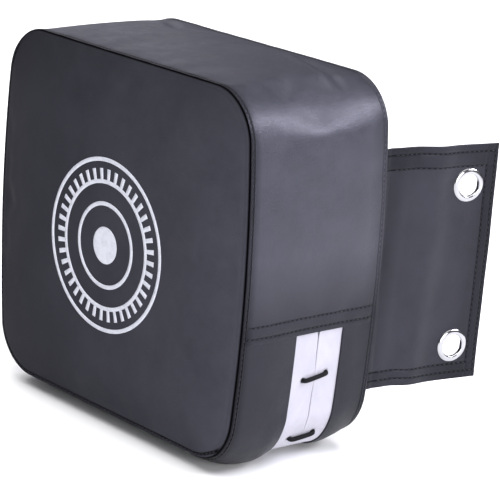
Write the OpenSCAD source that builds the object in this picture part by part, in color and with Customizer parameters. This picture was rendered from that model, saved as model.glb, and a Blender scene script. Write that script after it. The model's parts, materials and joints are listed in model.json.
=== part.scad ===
// Wall-mounted striking pad: a stuffed leather box with a laced filling slit
// and two swinging mounting wings with eyelets.
// +Z is up, the striking face looks along -Y, and the wall face lies on y = 0.
// The origin is the centre of the back, on the wall face. All sizes are in mm.
// "Depth" is the distance in front of the wall face.

/* [Pad body] */
// Width of the seam outline at its corners
face_w = 400; // [390:5:430]
// Height of the seam outline
face_h = 400; // [390:5:430]
// Depth of the side band between the back panel and the face seam
band_depth = 192; // [180:1:220]
// Sideways swell of the left and right sides at mid height
side_swell = 13; // [4:1:16]
// Corner radius of the seam outline
corner_r = 50; // [44:1:56]
// Forward swell of the striking face beyond its seam
face_crown = 14.4; // [8:0.2:20]
// How far the underside bulges down between its two seams
bottom_sag = 17; // [8:1:17]

/* [Cover] */
// Thickness of the cover leather
skin_t = 1.6; // [1.2:0.1:2]
// Height of the side joint between the upper and the lower band
joint_z = -50; // [-56:1:-44]
// Width of the strip that covers the side joint
strip_w = 20.5; // [18:0.5:24]
// How far the joint strips stand proud of the band
strip_t = 1.2; // [0.8:0.1:1.6]
// Width of the folded welts along the face seam and the back seam
welt_w = 7; // [5:0.5:9]
// How far the welts stand proud of the band
welt_t = 0.8; // [0.6:0.1:1.2]

/* [Printed target] */
// Radius of the largest printed ring
target_r = 96.5; // [80:0.5:97]
// Width of the printed rings
ring_w = 4.5; // [3:0.5:6]
// Number of printed rings
ring_count = 3; // [2:1:4]
// Number of short marks round the second ring
mark_count = 40; // [24:4:48]
// Length of the marks
mark_len = 12; // [8:1:14]
// Width of the marks
mark_w = 5; // [3:0.5:6]
// Thickness of the printed film
film_t = 0.3; // [0.2:0.1:0.4]
// Height of the middle of the printed target
target_z = -6; // [-10:1:0]

/* [Lace closure] */
// Depth of the middle of the slit
slit_depth = 85; // [80:1:92]
// Visible width of each closure tape
tape_w = 33; // [30:1:36]
// Thickness of the closure tapes
tape_t = 1.4; // [1:0.1:1.6]
// How far each tape is tucked under the lower band
tape_tuck = 8; // [6:1:10]
// How far the slit is pressed in against the bulge of the underside
slit_press = 5.4; // [5:0.1:6]
// Number of lace crossings along the slit
crossings = 9; // [8:1:10]
// Diameter of the lace
lace_d = 5; // [4:0.1:5]
// Distance between the two lace holes of a crossing
hole_span = 32; // [30:1:34]

/* [Foam and filling] */
// Thickness of the foam sheet behind the striking face
front_foam_t = 30; // [20:1:40]
// Thickness of the foam wrap inside the band
side_foam_t = 20; // [18:1:26]
// Thickness of the foam sheet inside the back panel
rear_foam_t = 20; // [10:1:24]

/* [Mounting sheet and wings] */
// Thickness of the mounting sheet sewn to the back panel
sheet_t = 3; // [2.8:0.1:3.4]
// Length of a wing from its fold line to its free end
wing_len = 146; // [140:1:160]
// Height of the top edge of the wings
wing_top = 124; // [120:1:130]
// Height of the bottom edge of the wings
wing_bottom = -146; // [-152:1:-142]
// Thickness of the wing leather
wing_t = 1.6; // [1.2:0.1:1.6]
// Thickness added by a hem
hem_t = 1; // [0.8:0.1:1]
// Width of the top hem
top_hem_w = 25; // [22:1:26]
// Width of the bottom hem
bottom_hem_w = 19; // [16:1:20]
// Width of the end hem
end_hem_w = 15; // [12:1:15]
// Backward swing of the wings at rest, from flat on the wall
wing_swing = 76; // [60:1:85]
// Distance from the seam outline to the fold line
fold_inset = 4; // [3:1:8]

/* [Eyelets] */
// Outer diameter of the wing eyelets
eyelet_d = 38; // [34:1:38]
// Hole diameter of the wing eyelets
eyelet_hole_d = 25; // [20:1:25]
// Distance from the eyelet's middle to the free end of the wing
eyelet_edge = 35; // [35:1:38]
// Height of the upper eyelets
upper_eyelet_z = 78.5; // [70:0.5:79]
// Height of the lower eyelets
lower_eyelet_z = -106; // [-106:1:-96]

/* [Hidden] */
$fn = 64;
half_w = face_w / 2;
half_h = face_h / 2;
corner_steps = 9;
side_steps = 8;
min_corner_r = 6;
span = 2 * (face_w + face_h);

// Depths of the layers, from the wall face to the front
back_front = sheet_t + skin_t;
seam_depth = back_front + band_depth;
rim_depth = seam_depth + skin_t;
crown_depth = rim_depth + face_crown;
rear_foam_front = back_front + rear_foam_t;
front_foam_back = seam_depth - front_foam_t;

// The underside sags most at this depth, and not at all at its two seams
sag_depth = slit_depth + tape_w;
sag_top = (corner_r - half_h) / 2;
slit_lift = slit_press - bottom_sag;

// The crown of the face rises in steps from its rim to a flat middle
crown_inset = 97;
crown_steps = 6;
foam_gap = 0.1;
dot_share = 0.85;

// Side joint strip
strip_above = 7.5;
strip_top = joint_z + strip_above;
strip_bottom = strip_top - strip_w;

// Lace closure
slit_gap = 0.6;
slit_front = slit_depth + tape_w;
slit_rear = slit_depth - tape_w;
hole_r = lace_d / 2 + 0.6;
lace_eyelet_r = lace_d / 2 + 2.8;
lace_barrel_r = hole_r + 0.6;
lace_flange_t = 0.6;
lace_slant = 2;
first_crossing = 60;
pocket_inset = 15;
underlay_t = 1;
underlay_w = 80;
channel_w = 90;
knot_r = 3.9;
lace_sides = 8;

// Wings
fold_x = half_w - fold_inset;
fold_gap = 1.5;
wing_rear = 0;
wing_front = -(wing_t + hem_t);
hem_front = -hem_t;
washer_t = 0.6;
barrel_wall = 0.9;
eyelet_s = wing_len - eyelet_edge;

// ---- outline of the pad, seen along its depth, as [x, z] points ----

// The sides swell most at mid height
function swell(z) = 1 + side_swell / half_w * (1 - pow(z / half_h, 2));

// A lift raises what lies below sag_top, most at the bottom edge
function lifted(z, lift) = z < sag_top ? z + lift * (sag_top - z) / (half_h + sag_top) : z;

function shaped(p, lift) = [p.x * swell(p.y), lifted(p.y, lift)];

function corner_arc(sx, sz, start, inset) =
    let (r = max(corner_r - inset, min_corner_r))
    [for (k = [0 : corner_steps])
        let (a = start + 90 * k / corner_steps)
        [sx * (half_w - inset - r) + r * cos(a), sz * (half_h - inset - r) + r * sin(a)]];

function side_line(sx, inset) =
    let (z_end = half_h - inset - max(corner_r - inset, min_corner_r))
    [for (k = [1 : side_steps - 1])
        [sx * (half_w - inset), sx * z_end * (2 * k / side_steps - 1)]];

function outline(inset, lift) =
    [for (p = concat(
            corner_arc(1, 1, 0, inset),
            corner_arc(-1, 1, 90, inset),
            side_line(-1, inset),
            corner_arc(-1, -1, 180, inset),
            corner_arc(1, -1, 270, inset),
            side_line(1, inset)))
        shaped(p, lift)];

// ---- solids between two depths ----

module plate(inset, from, to, lift = 0) {
    translate([0, -from, 0])
        rotate([90, 0, 0])
            linear_extrude(to - from)
                polygon(outline(inset, lift));
}

module ring(outer, inner, from, to, lift = 0) {
    translate([0, -from, 0])
        rotate([90, 0, 0])
            linear_extrude(to - from)
                difference() {
                    polygon(outline(outer, lift));
                    polygon(outline(inner, lift));
                }
}

// ---- covers that follow the sag of the underside ----

function sag_at(depth) =
    let (reach = depth > sag_depth ? seam_depth - sag_depth : sag_depth - back_front)
    bottom_sag * (1 - pow(abs(depth - sag_depth) / reach, 3));

function middle(a, b) = (a + b) / 2;

// Half of the width at the side joint, on the straight line between two points of the outline
side_step = 2 * (half_h - corner_r) / side_steps;
joint_low = floor(joint_z / side_step) * side_step;

function joint_x(inset) =
    let (
        low = (half_w - inset) * swell(joint_low),
        high = (half_w - inset) * swell(joint_low + side_step)
    )
    low + (high - low) * (joint_z - joint_low) / side_step;

function whole_path(inset, depth) =
    [for (p = outline(inset, -sag_at(depth))) [p.x, -depth, p.y]];

// From the left side joint, under the pad, to the right one
function lower_path(inset, depth) =
    concat(
        [[-joint_x(inset), -depth, joint_z]],
        [for (p = whole_path(inset, depth)) if (p.z < joint_z) p],
        [[joint_x(inset), -depth, joint_z]]
    );

// A closed solid between the outer and the inner paths, one of each for every depth
module between_paths(outer, inner, closed) {
    loops = concat(outer, [for (i = [len(inner) - 1 : -1 : 0]) inner[i]]);
    m = len(loops);
    n = len(loops[0]);
    points = [for (j = [0 : n - 1], k = [0 : m - 1]) loops[k][j]];
    walls = [
        for (j = [0 : closed ? n - 1 : n - 2], k = [0 : m - 1])
            let (
                next = (j + 1) % n,
                a = j * m + k,
                b = j * m + (k + 1) % m,
                c = next * m + k,
                d = next * m + (k + 1) % m
            )
            each k < m / 2 ? [[a, b, c], [b, d, c]] : [[a, b, d], [a, d, c]]
    ];
    end = (n - 1) * m;
    caps = [
        for (k = [0 : m / 2 - 2])
            let (a = k, b = k + 1, c = m - 2 - k, d = m - 1 - k)
            each [[d, c, b], [d, b, a], [end + a, end + b, end + c], [end + a, end + c, end + d]]
    ];
    polyhedron(points = points, faces = closed ? walls : concat(walls, caps));
}

module sagging_ring(outer, inner, depths) {
    between_paths(
        [for (d = depths) whole_path(outer, d)],
        [for (d = depths) whole_path(inner, d)],
        true
    );
}

module above(z) {
    translate([-span / 2, -span / 2, z])
        cube(span);
}

module below(z) {
    translate([-span / 2, -span / 2, z - span])
        cube(span);
}

module box(low, high) {
    translate(low)
        cube(high - low);
}

// ---- route of the slit: down the right side, along the bottom, up the left ----

route_r = corner_r - skin_t;
route_side = half_h - corner_r + joint_z;
route_arc = PI / 2 * route_r;
route_flat = face_w - 2 * corner_r;
route_len = 2 * (route_side + route_arc) + route_flat;
pitch = (route_len - 2 * first_crossing) / (crossings - 1);

function route_half(s) =
    s < route_side ?
        [half_w - skin_t, joint_z - s] :
    s < route_side + route_arc ?
        let (a = (s - route_side) / route_r * 180 / PI)
        [half_w - corner_r + route_r * cos(a), -(half_h - corner_r) - route_r * sin(a)] :
        [half_w - corner_r - (s - route_side - route_arc), -(half_h - skin_t)];

function route_base(s) =
    s <= route_len / 2 ?
        route_half(s) :
        let (p = route_half(route_len - s))
        [-p.x, p.y];

function route_point(s) = shaped(route_base(s), slit_lift);

// Outward normal of the slit's surface, as an angle from +X towards +Z
function route_angle(s) =
    let (t = route_point(s + 1) - route_point(s - 1))
    atan2(t.y, t.x) + 90;

// Point at a height over the tape's outer face, at a depth
function route_place(s, depth, height) =
    let (p = route_point(s), a = route_angle(s))
    [p.x + height * cos(a), -depth, p.y + height * sin(a)];

module on_route(s, depth) {
    p = route_point(s);
    translate([p.x, -depth, p.y])
        rotate([0, -route_angle(s), 0])
            rotate([0, 90, 0])
                children();
}

function crossing_s(i) = first_crossing + i * pitch;
front_hole_depth = slit_depth + hole_span / 2;
rear_hole_depth = slit_depth - hole_span / 2;

// ---- cover ----

// The crown grows quickly near the rim and flattens towards the middle
function crown_rise(f) = face_crown * (1 - pow(1 - f, 2.4));

module crown(base, back, inset) {
    hull() {
        plate(inset, back, base);
        for (k = [0 : crown_steps]) {
            f = k / crown_steps;
            plate(inset + f * (crown_inset - inset), back, base + crown_rise(f));
        }
    }
}

module face_panel() {
    color("#3c3c42")
        difference() {
            crown(rim_depth, seam_depth, 0);
            crown(seam_depth, seam_depth - 1, skin_t);
        }
}

module face_print() {
    ring_pitch = target_r / (ring_count + 1);
    color("#e4e4ee")
        translate([0, -crown_depth, target_z])
            rotate([90, 0, 0])
                linear_extrude(film_t) {
                    for (k = [0 : ring_count - 1])
                        print_ring(target_r - k * ring_pitch);
                    for (k = [0 : mark_count - 1])
                        rotate(360 * k / mark_count)
                            translate([target_r - ring_pitch - ring_w / 2, -mark_w / 2])
                                square([mark_len + ring_w / 2, mark_w]);
                    circle(ring_pitch * dot_share);
                }
}

module print_ring(r) {
    difference() {
        circle(r);
        circle(r - ring_w);
    }
}

module face_welt() {
    color("#4a4a52")
        sagging_ring(-welt_t, 0, [seam_depth - welt_w, seam_depth]);
}

module back_welt() {
    color("#4a4a52")
        sagging_ring(-welt_t, 0, [back_front, back_front + welt_w]);
}

module upper_band() {
    color("#62626c")
        intersection() {
            ring(0, skin_t, back_front, seam_depth);
            above(joint_z);
        }
}

module lower_band(depths) {
    color("#5c5c66")
        between_paths(
            [for (d = depths) lower_path(0, d)],
            [for (d = depths) lower_path(skin_t, d)],
            false
        );
}

module lower_band_front() {
    lower_band([
        slit_front,
        middle(slit_front, front_foam_back),
        front_foam_back,
        middle(front_foam_back, seam_depth - welt_w),
        seam_depth - welt_w,
        seam_depth
    ]);
}

module lower_band_rear() {
    lower_band([
        back_front,
        back_front + welt_w,
        rear_foam_front,
        middle(rear_foam_front, slit_rear),
        slit_rear
    ]);
}

module joint_strip(side) {
    color("#4a4a52")
        intersection() {
            ring(-strip_t, 0, back_front + welt_w, seam_depth - welt_w);
            box([min(0, side * span), -span, strip_bottom],
                [max(0, side * span), span, strip_top]);
        }
}

module back_panel() {
    color("#34343a")
        plate(0, sheet_t, back_front);
}

module mount_sheet() {
    edge = fold_x - fold_gap;
    color("#3e3e46")
        box([-edge, -sheet_t, wing_bottom], [edge, 0, wing_top]);
}

// ---- lace closure ----

module closure_tape(from, to, hole_depth, slant) {
    color("#e0dff0")
        difference() {
            intersection() {
                ring(skin_t, skin_t + tape_t, from, to, slit_lift);
                below(joint_z);
            }
            for (i = [0 : crossings - 1])
                on_route(crossing_s(i) + slant, hole_depth)
                    cylinder(h = 4 * tape_t, r = lace_barrel_r, center = true);
        }
}

module closure_tape_front() {
    closure_tape(slit_depth + slit_gap, slit_front + tape_tuck, front_hole_depth, lace_slant);
}

module closure_tape_rear() {
    closure_tape(slit_rear - tape_tuck, slit_depth - slit_gap, rear_hole_depth, -lace_slant);
}

module closure_underlay() {
    color("#cfcfdc")
        intersection() {
            ring(pocket_inset, pocket_inset + underlay_t,
                slit_depth - underlay_w / 2, slit_depth + underlay_w / 2, slit_lift);
            below(joint_z);
        }
}

module lace_eyelet() {
    rotate_extrude()
        polygon([
            [hole_r, -tape_t],
            [lace_barrel_r, -tape_t],
            [lace_barrel_r, 0],
            [lace_eyelet_r, 0],
            [lace_eyelet_r - 0.2, lace_flange_t],
            [hole_r, lace_flange_t]
        ]);
}

module lace_eyelets() {
    color("#e8e8ee")
        for (i = [0 : crossings - 1]) {
            on_route(crossing_s(i) + lace_slant, front_hole_depth)
                lace_eyelet();
            on_route(crossing_s(i) - lace_slant, rear_hole_depth)
                lace_eyelet();
        }
}

// One crossing of the lace: up through the front hole, over the slit, and down
// through the rear hole, as [offset along the slit, depth from its middle, height]
lace_r = lace_d / 2;
lace_over = lace_flange_t + lace_r + 0.3;
lace_under = -(tape_t + lace_r + 0.9);
half_span = hole_span / 2;
inner_height = lace_under - 1;
crossing_points = [
    [lace_slant, half_span + 0.4, lace_under],
    [lace_slant, half_span + 0.2, -1.5],
    [lace_slant, half_span - 0.4, 1.5],
    [0.8 * lace_slant, half_span - 3.5, lace_over],
    [0, 0, lace_over + 0.5],
    [-0.8 * lace_slant, 3.5 - half_span, lace_over],
    [-lace_slant, 0.4 - half_span, 1.5],
    [-lace_slant, -0.2 - half_span, -1.5],
    [-lace_slant, -0.4 - half_span, lace_under]
];

// Inside, the lace runs on slantwise to the next front hole
inner_stops = [1 / 4, 1 / 2, 3 / 4];
lace_route = [
    for (i = [0 : crossings - 1])
        each concat(
            [for (q = crossing_points)
                route_place(crossing_s(i) + q.x, slit_depth + q.y, q.z)],
            [for (f = i < crossings - 1 ? inner_stops : [])
                route_place(crossing_s(i) + f * pitch,
                    slit_depth + (2 * f - 1) * half_span, inner_height)]
        )
];

function unit(v) = v / norm(v);

function lace_dir(i) =
    unit(lace_route[min(i + 1, len(lace_route) - 1)] - lace_route[max(i - 1, 0)]);

// Any direction across d that never lies along it on this route
function across(d) = unit(cross(d, [0.31, 0.2, 0.93]));

// The ring of points round each stop of the route carries the last ring's
// direction on, so that the tube doesn't twist
function carried(u, d) = unit(u - d * (u * d));

function lace_frames(i = 0, u = undef, out = []) =
    i == len(lace_route) ?
        out :
        let (
            d = lace_dir(i),
            side = is_undef(u) ? across(d) : carried(u, d)
        )
        lace_frames(i + 1, side, concat(out, [[side, cross(d, side)]]));

module closure_lace() {
    frames = lace_frames();
    count = len(lace_route);
    points = [
        for (i = [0 : count - 1], k = [0 : lace_sides - 1])
            let (a = 360 * k / lace_sides)
            lace_route[i] + lace_r * (cos(a) * frames[i][0] + sin(a) * frames[i][1])
    ];
    walls = [
        for (i = [0 : count - 2], k = [0 : lace_sides - 1])
            let (
                n = (k + 1) % lace_sides,
                a = i * lace_sides + k,
                b = i * lace_sides + n,
                c = a + lace_sides,
                d = b + lace_sides
            )
            each [[a, c, b], [b, c, d]]
    ];
    start_cap = [[for (k = [0 : lace_sides - 1]) k]];
    end_cap = [[for (k = [0 : lace_sides - 1]) count * lace_sides - 1 - k]];
    color("#18181c")
        polyhedron(points = points, faces = concat(start_cap, walls, end_cap));
}

// A stopper knot holds each end of the lace inside the pocket
module lace_knots() {
    knot_height = lace_under - knot_r;
    color("#18181c") {
        translate(route_place(crossing_s(0) + lace_slant, front_hole_depth + 0.4, knot_height))
            sphere(r = knot_r);
        translate(route_place(crossing_s(crossings - 1) - lace_slant, rear_hole_depth - 0.4, knot_height))
            sphere(r = knot_r);
    }
}

// ---- foam and filling ----

module front_foam() {
    color("#8fb5d8")
        crown(seam_depth - foam_gap, front_foam_back, skin_t + foam_gap);
}

module side_foam_wrap() {
    color("#9cc0e0")
        difference() {
            plate(skin_t, rear_foam_front, front_foam_back, -sag_at(rear_foam_front));
            plate(skin_t + side_foam_t, 0, seam_depth, slit_lift);
            intersection() {
                difference() {
                    plate(-span / 20, slit_depth - channel_w / 2, slit_depth + channel_w / 2);
                    plate(pocket_inset + underlay_t, 0, seam_depth, slit_lift);
                }
                below(joint_z);
            }
        }
}

module rear_foam() {
    color("#9cc0e0")
        plate(skin_t, back_front, rear_foam_front);
}

module core_stuffing() {
    color("#b8b0a0")
        plate(skin_t + side_foam_t, rear_foam_front, front_foam_back, slit_lift);
}

// ---- wings: drawn flat on the wall from the fold line, then swung back ----

module swing_right() {
    translate([fold_x, 0, 0])
        rotate([0, 0, wing_swing])
            children();
}

module swing_left() {
    mirror([1, 0, 0])
        swing_right()
            children();
}

module wing_panel() {
    color("#46464e")
        difference() {
            box([fold_gap, wing_front, wing_bottom], [wing_len, hem_front, wing_top]);
            for (z = [upper_eyelet_z, lower_eyelet_z])
                at_eyelet(z)
                    cylinder(h = 10, r = eyelet_hole_d / 2 + barrel_wall, center = true);
        }
}

module wing_hem(s_from, z_from, s_to, z_to) {
    color("#3e3e46")
        box([s_from, hem_front, z_from], [s_to, wing_rear, z_to]);
}

module top_hem() {
    wing_hem(fold_gap, wing_top - top_hem_w, wing_len, wing_top);
}

module bottom_hem() {
    wing_hem(fold_gap, wing_bottom, wing_len, wing_bottom + bottom_hem_w);
}

module end_hem() {
    wing_hem(wing_len - end_hem_w, wing_bottom + bottom_hem_w, wing_len, wing_top - top_hem_w);
}

// +Z of the eyelet's own frame points out of the front of the wing
module at_eyelet(z) {
    translate([eyelet_s, 0, z])
        rotate([90, 0, 0])
            children();
}

module grommet(z) {
    hole = eyelet_hole_d / 2;
    barrel = hole + barrel_wall;
    edge = eyelet_d / 2;
    face = -wing_front;
    roll = hem_t - washer_t;
    color("#d8d8de")
        at_eyelet(z)
            rotate_extrude()
                polygon([
                    [hole, 0],
                    [barrel + 2, 0],
                    [barrel + 2.4, roll],
                    [barrel, roll],
                    [barrel, face],
                    [edge, face],
                    [edge - 0.4, face + 1],
                    [edge - 2, face + 1.7],
                    [edge - 3.6, face + 1.8],
                    [hole + 1, face + 1.5],
                    [hole, face + 0.8]
                ]);
}

module washer(z) {
    color("#c8c8ce")
        at_eyelet(z)
            rotate_extrude()
                polygon([
                    [eyelet_hole_d / 2 + barrel_wall, hem_t - washer_t],
                    [eyelet_d / 2, hem_t - washer_t],
                    [eyelet_d / 2, hem_t],
                    [eyelet_hole_d / 2 + barrel_wall, hem_t]
                ]);
}

face_panel();
face_print();
face_welt();
upper_band();
lower_band_front();
lower_band_rear();
joint_strip(1);  // joint_strip_right
joint_strip(-1);  // joint_strip_left
back_welt();
back_panel();
mount_sheet();
closure_tape_front();
closure_tape_rear();
closure_underlay();
closure_lace();
lace_knots();
lace_eyelets();
front_foam();
side_foam_wrap();
rear_foam();
core_stuffing();
swing_right() wing_panel();  // wing_right_panel
swing_right() top_hem();  // wing_right_top_hem
swing_right() bottom_hem();  // wing_right_bottom_hem
swing_right() end_hem();  // wing_right_end_hem
swing_right() grommet(upper_eyelet_z);  // wing_right_upper_grommet
swing_right() washer(upper_eyelet_z);  // wing_right_upper_washer
swing_right() grommet(lower_eyelet_z);  // wing_right_lower_grommet
swing_right() washer(lower_eyelet_z);  // wing_right_lower_washer
swing_left() wing_panel();  // wing_left_panel
swing_left() top_hem();  // wing_left_top_hem
swing_left() bottom_hem();  // wing_left_bottom_hem
swing_left() end_hem();  // wing_left_end_hem
swing_left() grommet(upper_eyelet_z);  // wing_left_upper_grommet
swing_left() washer(upper_eyelet_z);  // wing_left_upper_washer
swing_left() grommet(lower_eyelet_z);  // wing_left_lower_grommet
swing_left() washer(lower_eyelet_z);  // wing_left_lower_washer
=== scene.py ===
import json
import math

import bmesh
import bpy
import numpy as np
from mathutils import Matrix, Vector, noise as field


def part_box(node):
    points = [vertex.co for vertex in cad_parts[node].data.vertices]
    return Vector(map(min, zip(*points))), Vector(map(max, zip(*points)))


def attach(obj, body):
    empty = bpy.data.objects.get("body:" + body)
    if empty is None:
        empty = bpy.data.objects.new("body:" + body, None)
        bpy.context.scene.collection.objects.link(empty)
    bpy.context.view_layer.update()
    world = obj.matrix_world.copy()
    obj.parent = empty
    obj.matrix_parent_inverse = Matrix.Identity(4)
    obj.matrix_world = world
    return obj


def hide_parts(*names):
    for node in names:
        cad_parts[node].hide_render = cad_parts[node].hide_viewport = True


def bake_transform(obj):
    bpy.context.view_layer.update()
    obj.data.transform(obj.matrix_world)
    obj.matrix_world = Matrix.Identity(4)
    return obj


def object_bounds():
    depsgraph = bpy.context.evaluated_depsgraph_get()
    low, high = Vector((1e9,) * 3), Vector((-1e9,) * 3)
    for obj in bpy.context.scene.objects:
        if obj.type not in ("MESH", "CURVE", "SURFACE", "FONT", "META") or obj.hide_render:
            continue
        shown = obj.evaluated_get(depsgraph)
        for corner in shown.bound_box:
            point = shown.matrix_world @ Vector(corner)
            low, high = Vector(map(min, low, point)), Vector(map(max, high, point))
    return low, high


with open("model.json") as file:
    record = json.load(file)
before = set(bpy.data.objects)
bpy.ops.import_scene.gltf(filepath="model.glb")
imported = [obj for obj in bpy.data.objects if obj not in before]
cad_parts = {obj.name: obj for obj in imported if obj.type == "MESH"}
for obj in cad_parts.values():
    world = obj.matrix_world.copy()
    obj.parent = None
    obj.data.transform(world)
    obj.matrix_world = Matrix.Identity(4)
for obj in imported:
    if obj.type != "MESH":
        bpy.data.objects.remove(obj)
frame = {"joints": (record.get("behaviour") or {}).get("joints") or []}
cad_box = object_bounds()

MM = 0.001
rng = np.random.default_rng(11)
field.seed_set(11)                        # or the filling's noise would follow the clock
scene = bpy.context.scene


# ---- measures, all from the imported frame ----

def low(node, axis):
    """The lower end of a CAD node's box along an axis, in metres."""
    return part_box(node)[0][axis]


def high(node, axis):
    """The upper end of the same."""
    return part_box(node)[1][axis]


HALF = high("upper_band", 2)                        # half of the seam outline's height and width
SWELL = high("upper_band", 0) / HALF - 1            # how much wider the sides are at mid height
CORNER = 50 * MM
SEAM = -low("upper_band", 1)                        # depth of the face seam
BACK = -high("upper_band", 1)                       # depth of the band's back edge
SKIN = high("back_panel", 1) - low("back_panel", 1)
RIM = SEAM + SKIN
CROWN = -low("face_panel", 1)                       # depth of the face's middle
JOINT_Z = high("lower_band_front", 2)
SLIT_FRONT = -high("lower_band_front", 1)           # depths of the slit's two leather edges
SLIT_REAR = -low("lower_band_rear", 1)
SLIT = (SLIT_FRONT + SLIT_REAR) / 2
SAG = -low("lower_band_front", 2) - HALF            # how far the underside bulges down
SAG_TOP = (CORNER - HALF) / 2                       # height where the bulge starts
SLIT_DROP = -low("closure_tape_front", 2) - (HALF - SKIN)          # how far the slit hangs below the seams
FLOOR = cad_box[0].z
STRIP_TOP = high("joint_strip_right", 2)
WING_TOP = high("wing_right_panel", 2)
WING_BOTTOM = low("wing_right_panel", 2)
SHEET = high("mount_sheet", 1) - low("mount_sheet", 1)
SWING = math.radians(76)                            # how far the wings are swung back, as in the photo
WING_LEN = 146 * MM
TOP_HEM = 25 * MM                                   # widths of the wing's folded hems
BOTTOM_HEM = 19 * MM
END_HEM = 15 * MM
TOP_ROWS = (8 * MM, 24 * MM)                        # from the wing's edges to its rows of stitches
BOTTOM_ROWS = (8.5 * MM, 18.3 * MM)
END_ROWS = (4.4 * MM, 14.2 * MM)
FOLD_X = abs(frame["joints"][0]["pos_m"][0])        # where the wings fold
WALL = 1.45 * MM                                    # thickness of the cover's leather, as drawn
STITCH = 6 * MM                                     # from one stitch to the next
WORDS = {1: "right", -1: "left"}                    # the pad's sides


# ---- outline of the pad, seen from the front ----

def even(points, count):
    """Points at even steps along a closed outline that starts where it is."""
    closed = np.vstack([points, points[:1]])
    run = np.concatenate([[0], np.cumsum(np.linalg.norm(np.diff(closed, axis=0), axis=1))])
    at = np.linspace(0, run[-1], count, endpoint=False)
    return np.stack([np.interp(at, run, closed[:, k]) for k in (0, 1)], 1), run[-1]


def uneven(points):
    """The sewn cover isn't quite square: fuller at the upper left and lower right, tighter elsewhere."""
    x, z = points[:, 0] / HALF, points[:, 1] / HALF
    left = np.clip(-x, 0, 1) ** 3
    corner = np.exp(-((x - 0.93) ** 2 + (z + 0.93) ** 2) / 0.15 ** 2)
    points[:, 0] += MM * left * (1.5 * np.clip(-z, 0, 1) - 2.8 * np.clip(z + 0.35, 0, 1))
    points[:, 1] += MM * (left * (1.6 * np.clip(z, 0, 1) ** 3 + 1.2 * np.clip(-z, 0, 1) ** 3) - 2.4 * corner)
    return points


def make_outline(count=4096):
    """The seam outline and its outward normals, from the middle of the right side, up and round."""
    points = [(HALF, 0.0)]
    middle = HALF - CORNER
    for sx, sz, start in ((1, 1, 0), (-1, 1, 90), (-1, -1, 180), (1, -1, 270)):
        for k in range(0, 91, 3):
            a = math.radians(start + k)
            points.append((sx * middle + CORNER * math.cos(a), sz * middle + CORNER * math.sin(a)))
    base, _ = even(np.array(points), count)
    width = 15
    kernel = np.hanning(2 * width + 1)
    kernel /= kernel.sum()
    ringed = np.vstack([base[-width:], base, base[:width]])
    soft = np.stack([np.convolve(ringed[:, k], kernel, "valid") for k in (0, 1)], 1)
    soft[:, 0] *= 1 + SWELL * (1 - (soft[:, 1] / HALF) ** 2)
    final, length = even(uneven(soft), count)
    along = np.roll(final, -1, 0) - np.roll(final, 1, 0)
    normal = np.stack([along[:, 1], -along[:, 0]], 1)
    normal /= np.linalg.norm(normal, axis=1, keepdims=True)
    return final, normal, length


OUT_POINTS, OUT_NORMALS, ROUND = make_outline()


def outline(t):
    """(x, z) and outward normal at a distance t along the outline."""
    t = np.asarray(t, float)
    f = (t / ROUND % 1) * len(OUT_POINTS)
    i = np.floor(f).astype(int) % len(OUT_POINTS)
    j = (i + 1) % len(OUT_POINTS)
    f = (f - np.floor(f))[..., None]
    p = OUT_POINTS[i] * (1 - f) + OUT_POINTS[j] * f
    n = OUT_NORMALS[i] * (1 - f) + OUT_NORMALS[j] * f
    return p, n


def t_at_z(z):
    """Distance along the outline of the point on the right side at height z."""
    quarter = np.linspace(-ROUND / 8, ROUND / 8, 2001)
    return float(np.interp(z, outline(quarter)[0][:, 1], quarter))


RIGHT_END = t_at_z(JOINT_Z)               # the upper band's two ends. The right one is negative
LEFT_END = ROUND / 2 - RIGHT_END
LOWER_END = ROUND + RIGHT_END             # the right end again, after one round


def smooth(x):
    """0 below 0, 1 above 1, and an S curve between."""
    x = np.clip(x, 0, 1)
    return x * x * (3 - 2 * x)


def hill(x, width):
    """1 at x = 0, falling off to nothing on both sides over about two widths."""
    return np.exp(-(x / width) ** 2)


def both(*values):
    """The same values as arrays of one shape."""
    return np.broadcast_arrays(*[np.asarray(v, float) for v in values])


def spline(grid, u, v, wrap_u=False):
    """A cubic B-spline surface through a grid of values, at grid positions u and v."""
    def parts(x, size, wrap):
        i = np.floor(x).astype(int)
        f = x - i
        w = [(1 - f) ** 3 / 6, (3 * f ** 3 - 6 * f ** 2 + 4) / 6,
             (-3 * f ** 3 + 3 * f ** 2 + 3 * f + 1) / 6, f ** 3 / 6]
        index = [(i + k - 1) % size if wrap else np.clip(i + k - 1, 0, size - 1) for k in range(4)]
        return w, index
    wu, iu = parts(u, grid.shape[0], wrap_u)
    wv, iv = parts(v, grid.shape[1], False)
    out = 0
    for a in range(4):
        for b in range(4):
            out = out + (wu[a] * wv[b])[..., None] * grid[iu[a], iv[b]]
    return out


# ---- the two soft surfaces: the band, and the face ----

FACE_N = 64                               # cells of the simulated face, each way
BAND_ROWS = 32                            # and of the simulated band, from front to back
SIMULATED_FRAMES = 20
CELL = 3.6 * MM                           # from one point to the next on the plain parts of the cover
band_shift = np.zeros((4 * FACE_N, BAND_ROWS + 1, 3))
face_shift = np.zeros((FACE_N + 1, FACE_N + 1, 3))


def sag_at(depth):
    """How far the underside bulges down at a depth, with the slit pressed in against the bulge."""
    reach = np.where(depth > SLIT_FRONT, SEAM - SLIT_FRONT, SLIT_FRONT - BACK)
    full = SAG * (1 - np.clip(np.abs(depth - SLIT_FRONT) / reach, 0, 1) ** 3)
    pressed = 1 - smooth((np.abs(depth - SLIT) - 30 * MM) / (22 * MM))
    return full + (SLIT_DROP - full) * pressed


def sagged(z, depth):
    """A height on the cover, moved down with the bulge."""
    return z - sag_at(depth) * np.clip((SAG_TOP - z) / (HALF + SAG_TOP), 0, None)


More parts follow.
